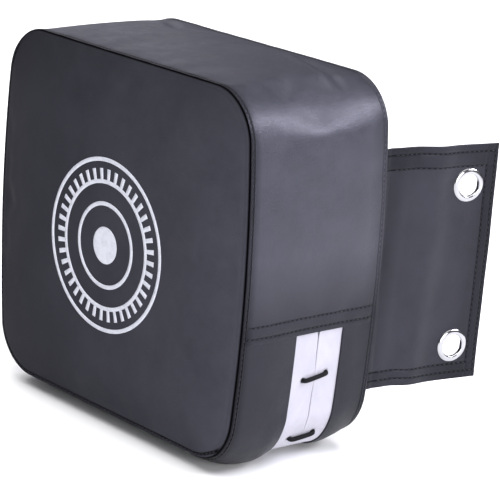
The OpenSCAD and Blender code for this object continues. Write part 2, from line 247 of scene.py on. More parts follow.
def crease(t, depth, a, b, width, size):
    """A sharp fold that runs from a to b, each a point (t, depth), and fades out at its ends."""
    dt = (t - a[0] + ROUND / 2) % ROUND - ROUND / 2
    dv = depth - a[1]
    run = np.array([b[0] - a[0], b[1] - a[1]])
    length = np.hypot(*run)
    run /= length
    s = (dt * run[0] + dv * run[1]) / length
    d = (dt * run[1] - dv * run[0]) / width
    bow = d + 1.4 * (s - 0.5) ** 2 - 0.35
    fade = smooth(s / 0.3 + 0.2) * smooth((1 - s) / 0.3 + 0.2) * (s > -0.1) * (s < 1.1)
    return size * fade * (0.55 * np.exp(-(bow - 1.5) ** 2) - np.exp(-bow ** 2))


def t_top(x):
    """Distance along the outline of the point on the top edge at x."""
    part = np.linspace(ROUND / 8, 3 * ROUND / 8, 2001)
    return float(np.interp(-x, -outline(part)[0][:, 0], part))


CREASES = [                               # (t, depth) at both ends, width and height
    ((t_top(0.066), 22 * MM), (t_top(0.184), 54 * MM), 6.5 * MM, 3.6 * MM),
    ((t_top(-0.150), 22 * MM), (t_top(-0.085), 60 * MM), 7 * MM, 1.5 * MM),
    ((t_top(0.192), 150 * MM), (t_top(0.150), 112 * MM), 8 * MM, 0.9 * MM),
    ((ROUND / 2 - 0.09, 120 * MM), (ROUND / 2 - 0.02, 60 * MM), 9 * MM, 1.1 * MM),
    ((ROUND / 2 + 0.14, 165 * MM), (ROUND / 2 + 0.10, 135 * MM), 6 * MM, 0.9 * MM),
]


def corner_share(t):
    """1 at the four corners, 0 along the straight sides."""
    n = outline(t)[1]
    return smooth((np.abs(n[..., 0] * n[..., 1]) - 0.05) / 0.42)


def puff(t, across):
    """The filling pushes out the middle of the top and the upper right side, most near the back."""
    p, n = outline(t)
    along = np.clip(1 - (p[..., 0] / (150 * MM)) ** 2, 0, 1) * (n[..., 1] > 0.5)
    top = 3.5 * MM * along * np.sin(np.pi * np.clip(across, 0, 1) ** 0.8) ** 0.8
    side = 2.6 * MM * smooth((n[..., 0] - 0.3) / 0.5) * smooth((p[..., 1] + 20 * MM) / (90 * MM))
    return top + side * np.sin(np.pi * np.clip(across, 0, 1) ** 0.55)


def band_point(t, depth):
    """The band's outer surface at rest."""
    t, depth = both(t, depth)
    p, n = outline(t)
    across = (depth - BACK) / (SEAM - BACK)
    waist = np.sin(np.pi * np.clip(across, 0, 1)) ** 2
    off = -1.6 * MM * waist * corner_share(t) + puff(t, across)
    for a, b, width, size in CREASES:
        off = off + crease(t, depth, a, b, width, size)
    row = (SEAM - depth) / (SEAM - BACK) * BAND_ROWS
    column = (t / ROUND % 1) * 4 * FACE_N
    out = np.stack([p[..., 0] + n[..., 0] * off, -depth, sagged(p[..., 1] + n[..., 1] * off, depth)], -1)
    out = out + spline(band_shift, column, np.clip(row, 0, BAND_ROWS), wrap_u=True)
    rest = FLOOR + 0.7 * MM
    over = (out[..., 2] - rest) / (0.5 * MM)
    out[..., 2] = np.where(over < 20, rest + 0.5 * MM * np.log1p(np.exp(np.minimum(over, 20))), out[..., 2])
    return out


def normals_of(point, u, v, du, dv):
    """Unit normals of a surface given as a function, by small steps."""
    a = point(u + du, v) - point(u - du, v)
    b = point(u, v + dv) - point(u, v - dv)
    n = np.cross(a, b)
    return n / np.maximum(np.linalg.norm(n, axis=-1, keepdims=True), 1e-12)


def band_normal(t, depth):
    """The outward normal of the band's outer surface."""
    t, depth = both(t, depth)
    return normals_of(band_point, t, depth, 1.2 * MM, 1.2 * MM)


def square_to_round(a, b):
    """How far out a point of the square grid is, 0 to 1, and where it is along the outline."""
    a, b = both(a, b)
    m = np.maximum(np.abs(a), np.abs(b))
    safe = np.maximum(m, 1e-9)
    qa, qb = a / safe, b / safe
    side = np.abs(a) >= np.abs(b)
    p = np.where(side, np.where(a > 0, qb, 4 - qb), np.where(b > 0, 2 - qa, 6 + qa))
    return m, p / 8 * ROUND


def face_point(a, b):
    """The face's outer surface at rest, over a square grid from -1 to 1 each way."""
    m, t = square_to_round(a, b)
    p = outline(t)[0] * m[..., None]
    f = np.clip((1 - m) * HALF / (97 * MM), 0, 1)
    rise = (CROWN - RIM - 0.4 * MM) * (1 - (1 - f) ** 2.4)
    out = np.stack([p[..., 0], -(RIM + 0.4 * MM + rise), p[..., 1]], -1)
    u, v = (np.asarray(a) + 1) / 2 * FACE_N, (np.asarray(b) + 1) / 2 * FACE_N
    u, v = np.broadcast_arrays(u, v)
    free = smooth(((1 - m) * HALF - 3 * MM) / (18 * MM))
    return out + spline(face_shift, u, v) * free[..., None]


def face_normal(a, b):
    """The outward normal of the face's outer surface."""
    a, b = both(a, b)
    return normals_of(face_point, a, b, 0.008, 0.008)


# ---- mesh helpers ----

def mesh_object(name, verts, faces, uv=None):
    """An object from a list of points and quads (or any polygons), with smooth shading."""
    mesh = bpy.data.meshes.new(name)
    verts = np.asarray(verts, float).reshape(-1, 3)
    faces = [list(map(int, f)) for f in faces]
    used = np.unique(np.concatenate([np.array(f) for f in faces]) if len(faces) else [])
    if len(used) < len(verts):
        number = np.full(len(verts), -1)
        number[used] = np.arange(len(used))
        faces = [number[f].tolist() for f in faces]
        verts = verts[used]
        uv = None if uv is None else np.asarray(uv).reshape(-1, 2)[used]
    mesh.from_pydata(verts.tolist(), [], faces)
    mesh.validate()
    if uv is not None:
        layer = mesh.uv_layers.new(name="UVMap")
        loops = np.zeros(len(mesh.loops), np.int64)
        mesh.loops.foreach_get("vertex_index", loops)
        layer.data.foreach_set("uv", np.asarray(uv, float).reshape(-1, 2)[loops].astype(np.float32).ravel())
    obj = bpy.data.objects.new(name, mesh)
    scene.collection.objects.link(obj)
    for p in mesh.polygons:
        p.use_smooth = True
    return obj


def outward(obj):
    """Turns all the faces of a closed mesh outwards."""
    bm = bmesh.new()
    bm.from_mesh(obj.data)
    bmesh.ops.recalc_face_normals(bm, faces=bm.faces)
    bm.to_mesh(obj.data)
    bm.free()
    return obj


def quads(index, wrap=False):
    """The quads of a grid of vertex numbers. With wrap, its last row joins its first."""
    if wrap:
        index = np.vstack([index, index[:1]])
    a, b, c, d = index[:-1, :-1], index[1:, :-1], index[1:, 1:], index[:-1, 1:]
    return np.stack([a, b, c, d], -1).reshape(-1, 4)


def shell(name, outer, inner, wrap=False, uv=None, keep=None):
    """A closed sheet of real thickness between two grids of points. keep marks the quads that stay."""
    nu, nv = outer.shape[:2]
    a = np.arange(nu * nv).reshape(nu, nv)
    top = quads(a, wrap)
    if keep is not None:
        top = top[keep.ravel()]
    edges = np.concatenate([top[:, [k, (k + 1) % 4]] for k in range(4)])
    keys = np.sort(edges, 1) @ np.array([nu * nv, 1])
    _, first, counts = np.unique(keys, return_index=True, return_counts=True)
    rim = edges[first[counts == 1]]
    walls = np.stack([rim[:, 1], rim[:, 0], rim[:, 0] + nu * nv, rim[:, 1] + nu * nv], 1)
    faces = np.concatenate([top, top[:, ::-1] + nu * nv, walls])
    two_sided = None if uv is None else np.concatenate([uv.reshape(-1, 2)] * 2)
    verts = np.concatenate([outer.reshape(-1, 3), inner.reshape(-1, 3)])
    return outward(mesh_object(name, verts, faces, two_sided))


def loop_tube(name, grid, wrap_u):
    """A tube whose cross-section is closed: the grid's second direction joins round."""
    nu, nv = grid.shape[:2]
    index = np.arange(nu * nv).reshape(nu, nv)
    index = np.hstack([index, index[:, :1]])
    faces = quads(index, wrap_u).tolist()
    if not wrap_u:
        faces.append(list(range(nv)))
        faces.append([nu * nv - 1 - k for k in range(nv)])
    return outward(mesh_object(name, grid, faces))


def roll(radius, turn=125, steps=6):
    """A rolled edge: (distance from the edge, depth below the surface), from its hidden end to the top."""
    angles = np.radians(np.linspace(turn, 0, steps + 1))
    return np.stack([radius * (1 - np.sin(angles)), radius * (1 - np.cos(angles))], 1)


def join(name, objects):
    """One object from several."""
    verts, faces, start = [], [], 0
    for o in objects:
        verts += [tuple(v.co) for v in o.data.vertices]
        faces += [[start + k for k in p.vertices] for p in o.data.polygons]
        start = len(verts)
    for o in objects:
        mesh = o.data
        bpy.data.objects.remove(o)
        bpy.data.meshes.remove(mesh)
    return mesh_object(name, verts, faces)


def across_path(path):
    """Two cross directions at each point of a path, without twist."""
    d = np.gradient(path, axis=0)
    d /= np.linalg.norm(d, axis=1, keepdims=True)
    side = np.zeros_like(path)
    u = np.cross(d[0], [0.31, 0.2, 0.93])
    for i in range(len(path)):
        u = u - d[i] * (u @ d[i])
        u /= np.linalg.norm(u)
        side[i] = u
    return side, np.cross(d, side)


def tube(name, path, radius, sides):
    """A tube along a path. radius is a number or a grid of numbers, one for each ring and side."""
    u, v = across_path(path)
    a = np.linspace(0, 2 * np.pi, sides, endpoint=False)
    r = np.broadcast_to(np.asarray(radius, float), (len(path), sides))[..., None]
    grid = path[:, None] + r * (u[:, None] * np.cos(a)[None, :, None] + v[:, None] * np.sin(a)[None, :, None])
    return loop_tube(name, grid, False)


def resample(points, step):
    """Points along an open path at even steps, and how far along it each one is."""
    run = np.concatenate([[0], np.cumsum(np.linalg.norm(np.diff(points, axis=0), axis=1))])
    count = max(int(round(run[-1] / step)), 2)
    at = np.linspace(0, run[-1], count + 1)
    return np.stack([np.interp(at, run, points[:, k]) for k in range(3)], 1), at


def catmull(points, per):
    """A smooth path through the points, with per steps between two of them."""
    p = np.vstack([2 * points[0] - points[1], points, 2 * points[-1] - points[-2]])
    out = []
    for i in range(1, len(p) - 2):
        for k in range(per):
            t = k / per
            out.append(0.5 * ((2 * p[i]) + (-p[i - 1] + p[i + 1]) * t
                              + (2 * p[i - 1] - 5 * p[i] + 4 * p[i + 1] - p[i + 2]) * t ** 2
                              + (-p[i - 1] + 3 * p[i] - 3 * p[i + 1] + p[i + 2]) * t ** 3))
    out.append(p[-2])
    return np.array(out)


def lathe(profile, centre, axis, across, steps=96):
    """Points of a closed profile (radius, height) turned about an axis, as a grid."""
    axis, across = np.array(axis, float), np.array(across, float)
    other = np.cross(axis, across)
    a = np.linspace(0, 2 * np.pi, steps, endpoint=False)[:, None, None]
    r, h = profile[:, 0][None, :, None], profile[:, 1][None, :, None]
    return np.array(centre) + r * (np.cos(a) * across + np.sin(a) * other) + h * axis


# ---- stitches: each one is a short arched thread whose ends go down into the leather ----

STITCH_RINGS = 7
STITCH_SIDES = 6
STITCH_FILL = 0.74                        # how much of the pitch a thread covers


def at_run(run, values, place):
    """The values of a row at a distance along it."""
    return np.array([np.interp(place, run, values[:, c]) for c in range(3)])


def stitches(name, rows, radius=0.5 * MM, proud=0.25 * MM):
    """Rows of stitches. A row is (points, normals) along the surface."""
    verts, faces, start = [], [], 0
    half = 0.5 * STITCH_FILL * STITCH
    x = np.linspace(-1, 1, STITCH_RINGS)
    arch = proud * (1 - x ** 2) - (proud + radius) * x ** 6
    thick = radius * np.sqrt(np.maximum(1 - (0.93 * x) ** 4, 0.02))
    a = np.linspace(0, 2 * np.pi, STITCH_SIDES, endpoint=False)
    ring_index = np.arange(STITCH_RINGS * STITCH_SIDES).reshape(STITCH_RINGS, STITCH_SIDES)
    index = np.hstack([ring_index, ring_index[:, :1]])
    body = quads(index)[:, ::-1].tolist() + [list(range(STITCH_SIDES))[::-1]]
    body += [[(STITCH_RINGS - 1) * STITCH_SIDES + k for k in range(STITCH_SIDES)]]
    for points, normals in rows:
        run = np.concatenate([[0], np.cumsum(np.linalg.norm(np.diff(points, axis=0), axis=1))])
        count = max(int(run[-1] / STITCH), 1)
        for k in range(count):
            mid = (k + 0.5) * run[-1] / count
            n = at_run(run, normals, mid)
            n /= np.linalg.norm(n)
            d = at_run(run, points, mid + half) - at_run(run, points, mid - half)
            d /= np.linalg.norm(d)
            side = np.cross(d, n)
            d = d + side * 0.05 * rng.standard_normal()
            grid = (at_run(run, points, mid) + (x * half)[:, None, None] * d + arch[:, None, None] * n
                    + thick[:, None, None] * (np.cos(a)[None, :, None] * side + np.sin(a)[None, :, None] * n))
            verts.append(grid.reshape(-1, 3))
            faces += [[start + i for i in f] for f in body]
            start += grid.shape[0] * grid.shape[1]
    return outward(mesh_object(name, np.concatenate(verts), faces))


# ---- materials ----

def new_material(name):
    """An empty material, with its node tree, its shader and its texture coordinates."""
    mat = bpy.data.materials.new(name)
    mat.use_nodes = True
    tree = mat.node_tree
    bsdf = tree.nodes["Principled BSDF"]
    coord = tree.nodes.new("ShaderNodeTexCoord")
    return mat, tree, bsdf, coord


def node(tree, kind, **settings):
    """A new node. settings are its inputs' values, or its own properties."""
    n = tree.nodes.new(kind)
    for key, value in settings.items():
        if key in n.inputs.keys():
            n.inputs[key].default_value = value
        else:
            setattr(n, key, value)
    return n


def noise(tree, where, scale, detail=3.0, rough=0.5):
    """Cloudy noise, about 0.3 to 0.7."""
    n = node(tree, "ShaderNodeTexNoise", Scale=scale, Detail=detail, Roughness=rough)
    tree.links.new(where, n.inputs["Vector"])
    return n.outputs["Fac"]


def voronoi(tree, where, scale, feature="F1"):
    """Distance to the nearest cell's middle, or to the cells' edges."""
    n = node(tree, "ShaderNodeTexVoronoi", feature=feature, Scale=scale)
    tree.links.new(where, n.inputs["Vector"])
    return n.outputs["Distance"]


def ramp(tree, value, stops):
    """A colour from a value. stops are (value, colour), in order."""
    n = tree.nodes.new("ShaderNodeValToRGB")
    n.color_ramp.elements[0].position, n.color_ramp.elements[0].color = stops[0][0], (*stops[0][1], 1)
    n.color_ramp.elements[1].position, n.color_ramp.elements[1].color = stops[-1][0], (*stops[-1][1], 1)
    for at, colour in stops[1:-1]:
        n.color_ramp.elements.new(at).color = (*colour, 1)
    tree.links.new(value, n.inputs["Fac"])
    return n.outputs["Color"]


def remap(tree, value, from_low, from_high, to_low, to_high):
    """A value moved from one range into another, and held at its ends."""
    limits = {"From Min": from_low, "From Max": from_high, "To Min": to_low, "To Max": to_high}
    n = node(tree, "ShaderNodeMapRange", **limits)
    tree.links.new(value, n.inputs["Value"])
    return n.outputs["Result"]


def combine(tree, kind, a, b):
    """One step of arithmetic on two values. Each is a number or an output."""
    n = node(tree, "ShaderNodeMath", operation=kind)
    for k, value in enumerate((a, b)):
        if isinstance(value, (int, float)):
            n.inputs[k].default_value = value
        else:
            tree.links.new(value, n.inputs[k])
    return n.outputs[0]


def weighed(tree, a, share_a, b, share_b):
    """The sum of two values, each times its share."""
    return combine(tree, "ADD", combine(tree, "MULTIPLY", a, share_a), combine(tree, "MULTIPLY", b, share_b))


def apart(tree, a, b):
    """How far apart two values are."""
    return combine(tree, "ABSOLUTE", combine(tree, "SUBTRACT", a, b), 0.0)


def axes(tree, where):
    """The X, Y and Z of a place."""
    split = tree.nodes.new("ShaderNodeSeparateXYZ")
    tree.links.new(where, split.inputs[0])
    return split.outputs


def multiplied(tree, share, colour, other):
    """A colour times a share of another one."""
    mix = node(tree, "ShaderNodeMix", data_type="RGBA", blend_type="MULTIPLY", Factor=share)
    tree.links.new(colour, mix.inputs[6])
    tree.links.new(other, mix.inputs[7])
    return mix.outputs[2]


def bump(tree, bsdf, layers):
    """Bumps of (height, depth in metres, strength), one on top of the other."""
    normal = None
    for height, depth, strength in layers:
        n = node(tree, "ShaderNodeBump", Distance=depth, Strength=strength)
        tree.links.new(height, n.inputs["Height"])
        if normal is not None:
            tree.links.new(normal, n.inputs["Normal"])
        normal = n.outputs["Normal"]
    tree.links.new(normal, bsdf.inputs["Normal"])


def painted_crevice_shade(tree, where, lines, fades, reach):
    """Painted shade and light as a factor on the colour. lines are (axis, place, share) and darken, 0 to 1,
    where shade falls in seams and rows; fades (axis, from, to, share, share) are painted gradients of light
    and shade.
    """
    place = axes(tree, where)
    painted_light_factor = 1.0
    for axis, at, share in lines:
        away = apart(tree, place[axis], at)
        painted_light_factor = combine(tree, "MULTIPLY", remap(tree, away, 0.35 * reach, reach, share, 1.0), painted_light_factor)
    for axis, start, end, low_share, high_share in fades:
        share = remap(tree, place[axis], start, end, low_share, high_share)
        painted_light_factor = combine(tree, "MULTIPLY", share, painted_light_factor)
    return painted_light_factor


def sewn_lines(tree, coord, loops, reach):
    """Painted shade along a wing's rows of stitches, darker hems and a painted sheen down its middle. A loop
    is (top, bottom, end).
    """
    out, height, _ = axes(tree, coord.outputs["UV"])
    painted_light_factor = 1.0
    for top, bottom, end in loops:
        over = combine(tree, "SUBTRACT", height, top)
        under = combine(tree, "SUBTRACT", bottom, height)
        past = combine(tree, "SUBTRACT", out, end)
        beyond = combine(tree, "MAXIMUM", combine(tree, "MAXIMUM", over, under), past)
        away = combine(tree, "ABSOLUTE", beyond, 0.0)
        painted_light_factor = combine(tree, "MULTIPLY", remap(tree, away, 0.35 * reach, reach, 0.3, 1.0), painted_light_factor)
    hem = remap(tree, beyond, -2 * MM, 1 * MM, 1.0, 0.72)
    # Painted sheen: lighter down the wing's middle, where its bend catches the light, and darker away from
    # it.
    wear_and_sheen = combine(tree, "ADD", out, combine(tree, "MULTIPLY", height, -0.12))
    wear_and_sheen = apart(tree, wear_and_sheen, 70 * MM)
    tone = remap(tree, wear_and_sheen, 8 * MM, 58 * MM, 1.35, 0.78)
    return combine(tree, "MULTIPLY", painted_light_factor, combine(tree, "MULTIPLY", hem, tone))


def edge_line(tree, coord, reach):
    """Painted shade along the face's own row of stitches. The UV map has the distance from it, and how far it
    is hidden.
    """
    from_row, hidden, _ = axes(tree, coord.outputs["UV"])
    share = remap(tree, combine(tree, "ABSOLUTE", from_row, 0.0), 0.3 * reach, reach, 0.0, 1.0)
    return combine(tree, "MAXIMUM", share, hidden)


def leather(name, dark, light, rough, shine, coat, lines=(), fades=(), loops=(), edge=False,
            reach=1.3 * MM):
    """Smooth black leather: fine pebbled grain, hair lines and soft mottling, with painted shade in its seams
    and rows and painted gradients of light and shade, which also lower its gloss.
    """
    mat, tree, bsdf, coord = new_material(name)
    where = coord.outputs["Object"]
    warp = node(tree, "ShaderNodeVectorMath", operation="MULTIPLY_ADD")
    broad_colour = node(tree, "ShaderNodeTexNoise", Scale=60.0, Detail=2.0)
    tree.links.new(where, broad_colour.inputs["Vector"])
    tree.links.new(broad_colour.outputs["Color"], warp.inputs[0])
    warp.inputs[1].default_value = (0.004, 0.004, 0.004)
    tree.links.new(where, warp.inputs[2])
    cells = voronoi(tree, warp.outputs[0], 820.0)
    edges = voronoi(tree, warp.outputs[0], 430.0, "DISTANCE_TO_EDGE")
    fine = noise(tree, where, 1500.0, 2.0)
    broad = noise(tree, where, 16.0, 3.0)
    mid = noise(tree, where, 70.0, 4.0, 0.6)
    dents = noise(tree, where, 28.0, 2.0)
    tone = weighed(tree, broad, 0.6, mid, 0.4)
    middle = tuple((a + b) / 2 for a, b in zip(dark, light))
    colour = ramp(tree, tone, [(0.35, dark), (0.5, middle), (0.66, light)])
    if lines or fades or loops:
        painted_light_factor = painted_crevice_shade(tree, where, lines, fades, reach)
        if loops:
            painted_light_factor = sewn_lines(tree, coord, loops, reach)
        if edge:
            painted_light_factor = combine(tree, "MULTIPLY", painted_light_factor, edge_line(tree, coord, reach))
        # Painted light and shade: the colour is multiplied by the painted factor.
        colour = multiplied(tree, 1.0, colour, painted_light_factor)
        tree.links.new(remap(tree, painted_light_factor, 0.0, 1.0, 0.03, shine), bsdf.inputs["Specular IOR Level"])
        tree.links.new(remap(tree, painted_light_factor, 0.0, 1.0, 0.0, coat), bsdf.inputs["Coat Weight"])
    tree.links.new(colour, bsdf.inputs["Base Color"])
    spread = remap(tree, mid, 0.3, 0.7, rough - 0.05, rough + 0.06)
    pores = remap(tree, edges, 0.0, 0.12, 0.08, 0.0)
    tree.links.new(combine(tree, "ADD", spread, pores), bsdf.inputs["Roughness"])
    groove = remap(tree, edges, 0.0, 0.09, 0.0, 1.0)
    bump(tree, bsdf, [(dents, 0.0022, 0.30), (mid, 0.0009, 0.22), (groove, 0.00012, 0.6),
                      (cells, 0.00014, 0.7), (fine, 0.00005, 0.4)])
    bsdf.inputs["IOR"].default_value = 1.45
    bsdf.inputs["Specular IOR Level"].default_value = shine
    bsdf.inputs["Specular Tint"].default_value = (0.78, 0.78, 1.0, 1)
    bsdf.inputs["Coat Weight"].default_value = coat
    bsdf.inputs["Coat Roughness"].default_value = 0.3
    return mat


def ink(name):
    """Printed film: pale ink that lets the grain through, with fine cracks and a few rubbed spots."""
    mat, tree, bsdf, coord = new_material(name)
    where = coord.outputs["Object"]
    edges = voronoi(tree, where, 430.0, "DISTANCE_TO_EDGE")
    wear_and_sheen = noise(tree, where, 190.0, 5.0, 0.7)
    cloud = noise(tree, where, 24.0, 3.0)
    bare, pale, full = (0.24, 0.25, 0.29), (0.47, 0.48, 0.54), (0.55, 0.56, 0.62)
    colour = ramp(tree, wear_and_sheen, [(0.27, bare), (0.36, pale), (0.62, full)])
    clouds = ramp(tree, cloud, [(0.3, (0.84, 0.84, 0.88)), (0.7, (1, 1, 1))])
    tree.links.new(multiplied(tree, 0.5, colour, clouds), bsdf.inputs["Base Color"])
    tree.links.new(remap(tree, wear_and_sheen, 0.3, 0.7, 0.5, 0.36), bsdf.inputs["Roughness"])
    bump(tree, bsdf, [(remap(tree, edges, 0.0, 0.09, 0.0, 1.0), 0.00008, 0.3), (wear_and_sheen, 0.00008, 0.3)])
    return mat


def woven(name, dark, light, pitch_u, pitch_v, twill):
    """Woven cloth from the piece's own lengths: two sets of threads that cross over and under."""
    mat, tree, bsdf, coord = new_material(name)
    u, v, _ = axes(tree, coord.outputs["UV"])
    shift = combine(tree, "MULTIPLY", v, math.pi / pitch_v if twill else 0.0)
    across = combine(tree, "MULTIPLY", u, 2 * math.pi / pitch_u)
    warp = combine(tree, "SINE", combine(tree, "ADD", across, shift), 0.0)
    weft = combine(tree, "SINE", combine(tree, "MULTIPLY", v, 2 * math.pi / pitch_v), 0.0)
    weave = combine(tree, "MULTIPLY", warp, weft)
    height = remap(tree, weave, -1.0, 1.0, 0.0, 1.0)
    fuzz = noise(tree, coord.outputs["Object"], 1400.0, 3.0)
    stain = noise(tree, coord.outputs["Object"], 30.0, 4.0)
    shade = weighed(tree, height, 0.45, stain, 0.55)
    tree.links.new(ramp(tree, shade, [(0.25, dark), (0.6, light)]), bsdf.inputs["Base Color"])
    tree.links.new(remap(tree, fuzz, 0.3, 0.7, 0.77, 0.91), bsdf.inputs["Roughness"])
    bump(tree, bsdf, [(height, 0.00022, 0.7), (fuzz, 0.00008, 0.5)])
    bsdf.inputs["Sheen Weight"].default_value = 0.25
    return mat


def cord_material(name, dark, light, rough, shine):
    """Twisted or braided fibres."""
    mat, tree, bsdf, coord = new_material(name)
    where = coord.outputs["Object"]
    fibre = noise(tree, where, 2600.0, 3.0)
    cloud = noise(tree, where, 120.0, 3.0)
    tree.links.new(ramp(tree, fibre, [(0.3, dark), (0.7, light)]), bsdf.inputs["Base Color"])
    tree.links.new(remap(tree, cloud, 0.3, 0.7, rough, rough + 0.15), bsdf.inputs["Roughness"])
    bump(tree, bsdf, [(fibre, 0.0001, 0.5)])
    bsdf.inputs["Specular IOR Level"].default_value = shine
    return mat


def metal(name, tint, rough):
    """Polished plating with hair scratches and faint finger marks."""
    mat, tree, bsdf, coord = new_material(name)
    where = coord.outputs["Object"]
    stretched = node(tree, "ShaderNodeMapping", Scale=(40, 40, 900))
    tree.links.new(where, stretched.inputs["Vector"])
    scratch = noise(tree, stretched.outputs[0], 6.0, 4.0, 0.7)
    smudge = noise(tree, where, 90.0, 3.0)
    dull = tuple(0.88 * c for c in tint)
    tree.links.new(ramp(tree, smudge, [(0.3, dull), (0.65, tint)]), bsdf.inputs["Base Color"])
    tree.links.new(remap(tree, smudge, 0.3, 0.7, rough, rough + 0.1), bsdf.inputs["Roughness"])
    bump(tree, bsdf, [(scratch, 0.00003, 0.25)])
    bsdf.inputs["Metallic"].default_value = 1.0
    return mat


def foam(name, dark, light, cell):
    """Open foam: small pores over a soft mottle."""
    mat, tree, bsdf, coord = new_material(name)
    where = coord.outputs["Object"]
    pores = voronoi(tree, where, cell)
    cloud = noise(tree, where, 40.0, 4.0)
    shade = weighed(tree, pores, 0.6, cloud, 0.5)
    tree.links.new(ramp(tree, shade, [(0.25, light), (0.75, dark)]), bsdf.inputs["Base Color"])
    tree.links.new(remap(tree, cloud, 0.3, 0.7, 0.86, 0.98), bsdf.inputs["Roughness"])
    bump(tree, bsdf, [(cloud, 0.002, 0.4), (pores, 0.0005, 0.8)])
    return mat


def floor_material(name):
    """Matt and nearly white, with faint clouds."""
    mat, tree, bsdf, coord = new_material(name)
    cloud = noise(tree, coord.outputs["Object"], 3.0, 2.0)
    pale = ramp(tree, cloud, [(0.3, (0.93, 0.93, 0.94)), (0.7, (0.95, 0.95, 0.96))])
    tree.links.new(pale, bsdf.inputs["Base Color"])
    bsdf.inputs["Roughness"].default_value = 0.9
    bsdf.inputs["Specular IOR Level"].default_value = 0.1
    return mat


SEAM_LINE = SEAM + 0.6 * MM               # depth of the painted shade line between the face and its welt
WELT_ROW = 4.6 * MM                       # from the seam to the topstitching
STRIP_ROWS = (1.6 * MM, 14.1 * MM)        # from the strip's top to its rows of stitches
WING_LOOPS = [(WING_TOP - a, WING_BOTTOM + b, WING_LEN - c)
              for a, b, c in zip(TOP_ROWS, BOTTOM_ROWS, END_ROWS)]
# Painted shade on the band and the joint strips: darker below the side joints, within 14 mm of the face seam,
# and towards the back edge.
BAND_PAINTED_SHADE = [("Z", JOINT_Z - 5 * MM, JOINT_Z + 75 * MM, 0.44, 1.0), ("Y", -SEAM, -SEAM + 14 * MM, 0.3, 1.0),
              ("Y", -BACK - 26 * MM, -BACK, 1.0, 0.58)]
BLACK = ((0.020, 0.020, 0.027), (0.029, 0.029, 0.039))
# Painted light on the face: darker at the left and lighter at the right, with painted shade towards the top.
FACE_PAINTED_LIGHT = [("X", -HALF, HALF, 0.6, 1.25), ("Z", HALF - 70 * MM, HALF, 1.0, 0.82)]
# Painted shade on the band: a dark line in the face seam, a lighter one along the welt's row of stitches, and
# a dark line at the back seam.
BAND_SHADE_LINES = [("Y", -SEAM_LINE, 0.0), ("Y", -SEAM + WELT_ROW, 0.35), ("Y", -BACK, 0.0)]
# The face: painted shade in its seam and along its own row of stitches, and its painted light.
LEATHER_FACE = leather("face_leather", (0.028, 0.028, 0.036), (0.037, 0.037, 0.047), 0.6, 0.04, 0.0,
                       [("Y", -SEAM_LINE, 0.0)], FACE_PAINTED_LIGHT, edge=True, reach=1.9 * MM)
LEATHER_BAND = leather("band_leather", *BLACK, 0.40, 0.5, 0.06,
                       BAND_SHADE_LINES, BAND_PAINTED_SHADE)
# The joint strips: painted shade along their two rows of stitches, and the band's painted shade.
LEATHER_STRIP = leather("strip_leather", *BLACK, 0.42, 0.5, 0.06,
                        [("Z", STRIP_TOP - row, 0.35) for row in STRIP_ROWS], BAND_PAINTED_SHADE)
# The wing: painted shade along its rows of stitches, darker hems and a painted sheen down its middle.
LEATHER_WING = leather("wing_leather", (0.006, 0.006, 0.008), (0.0125, 0.0125, 0.017), 0.42, 0.32, 0.05,
                       loops=WING_LOOPS)
LEATHER_HEM = leather("hem_leather", (0.005, 0.005, 0.007), (0.010, 0.010, 0.0135), 0.50, 0.3, 0.03)
LEATHER_BACK = leather("back_leather", (0.0055, 0.0055, 0.0075), (0.011, 0.011, 0.015), 0.48, 0.3, 0.03)
INK = ink("target_ink")
WEBBING = woven("white_webbing", (0.29, 0.285, 0.335), (0.40, 0.39, 0.455), 1.5 * MM, 1.2 * MM, twill=True)
LINING = woven("lining_cloth", (0.42, 0.42, 0.48), (0.6, 0.6, 0.66), 1.2 * MM, 1.2 * MM, twill=False)
LACE = cord_material("lace_cord", (0.003, 0.003, 0.004), (0.010, 0.010, 0.012), 0.7, 0.12)
THREAD = cord_material("sewing_thread", (0.003, 0.003, 0.006), (0.009, 0.009, 0.016), 0.38, 0.32)
CHROME = metal("chrome", (0.40, 0.40, 0.42), 0.12)
NICKEL = metal("nickel", (0.30, 0.30, 0.33), 0.3)
FOAM_SHEET = foam("blue_foam", (0.20, 0.34, 0.50), (0.38, 0.55, 0.72), 900.0)
FILLING = foam("rag_filling", (0.30, 0.27, 0.22), (0.62, 0.58, 0.50), 260.0)


def finish_piece(obj, material, body="pad", nodes=()):
    """Gives a piece its material, the body that it rides on and the nodes that it replaces."""
    obj.data.materials.append(material)
    if nodes:
        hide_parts(*nodes)
    if body:
        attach(obj, body)
    return obj


# ---- camera, lights and floor ----

def make_camera():
    """At the photo's own viewing angle: right of the face, 15 degrees up, rolled a little."""
    camera = bpy.data.objects.new("camera", bpy.data.cameras.new("camera"))
    camera.data.sensor_width = 36
    camera.data.lens = 173.37
    camera.data.clip_end = 60
    forward = Vector((-0.71762, 0.64283, -0.26793)).normalized()
    up = Vector((-0.24678, 0.12504, 0.96097)).normalized()
    right = forward.cross(up).normalized()
    up = right.cross(forward)
    turn = Matrix((right, up, -forward)).transposed()
    camera.matrix_world = Matrix.Translation(Vector((1.9691, -1.7673, 0.6968))) @ turn.to_4x4()
    scene.collection.objects.link(camera)
    scene.camera = camera


def area_light(name, where, target, size, power, colour):
    """A softbox of size (wide, high) that points at a target."""
    light = bpy.data.lights.new(name, "AREA")
    light.shape = "RECTANGLE"
    light.size, light.size_y = size
    light.energy = power
    light.color = colour
    obj = bpy.data.objects.new(name, light)
    obj.location = where
    obj.rotation_euler = (Vector(target) - Vector(where)).to_track_quat("-Z", "Y").to_euler()
    scene.collection.objects.link(obj)


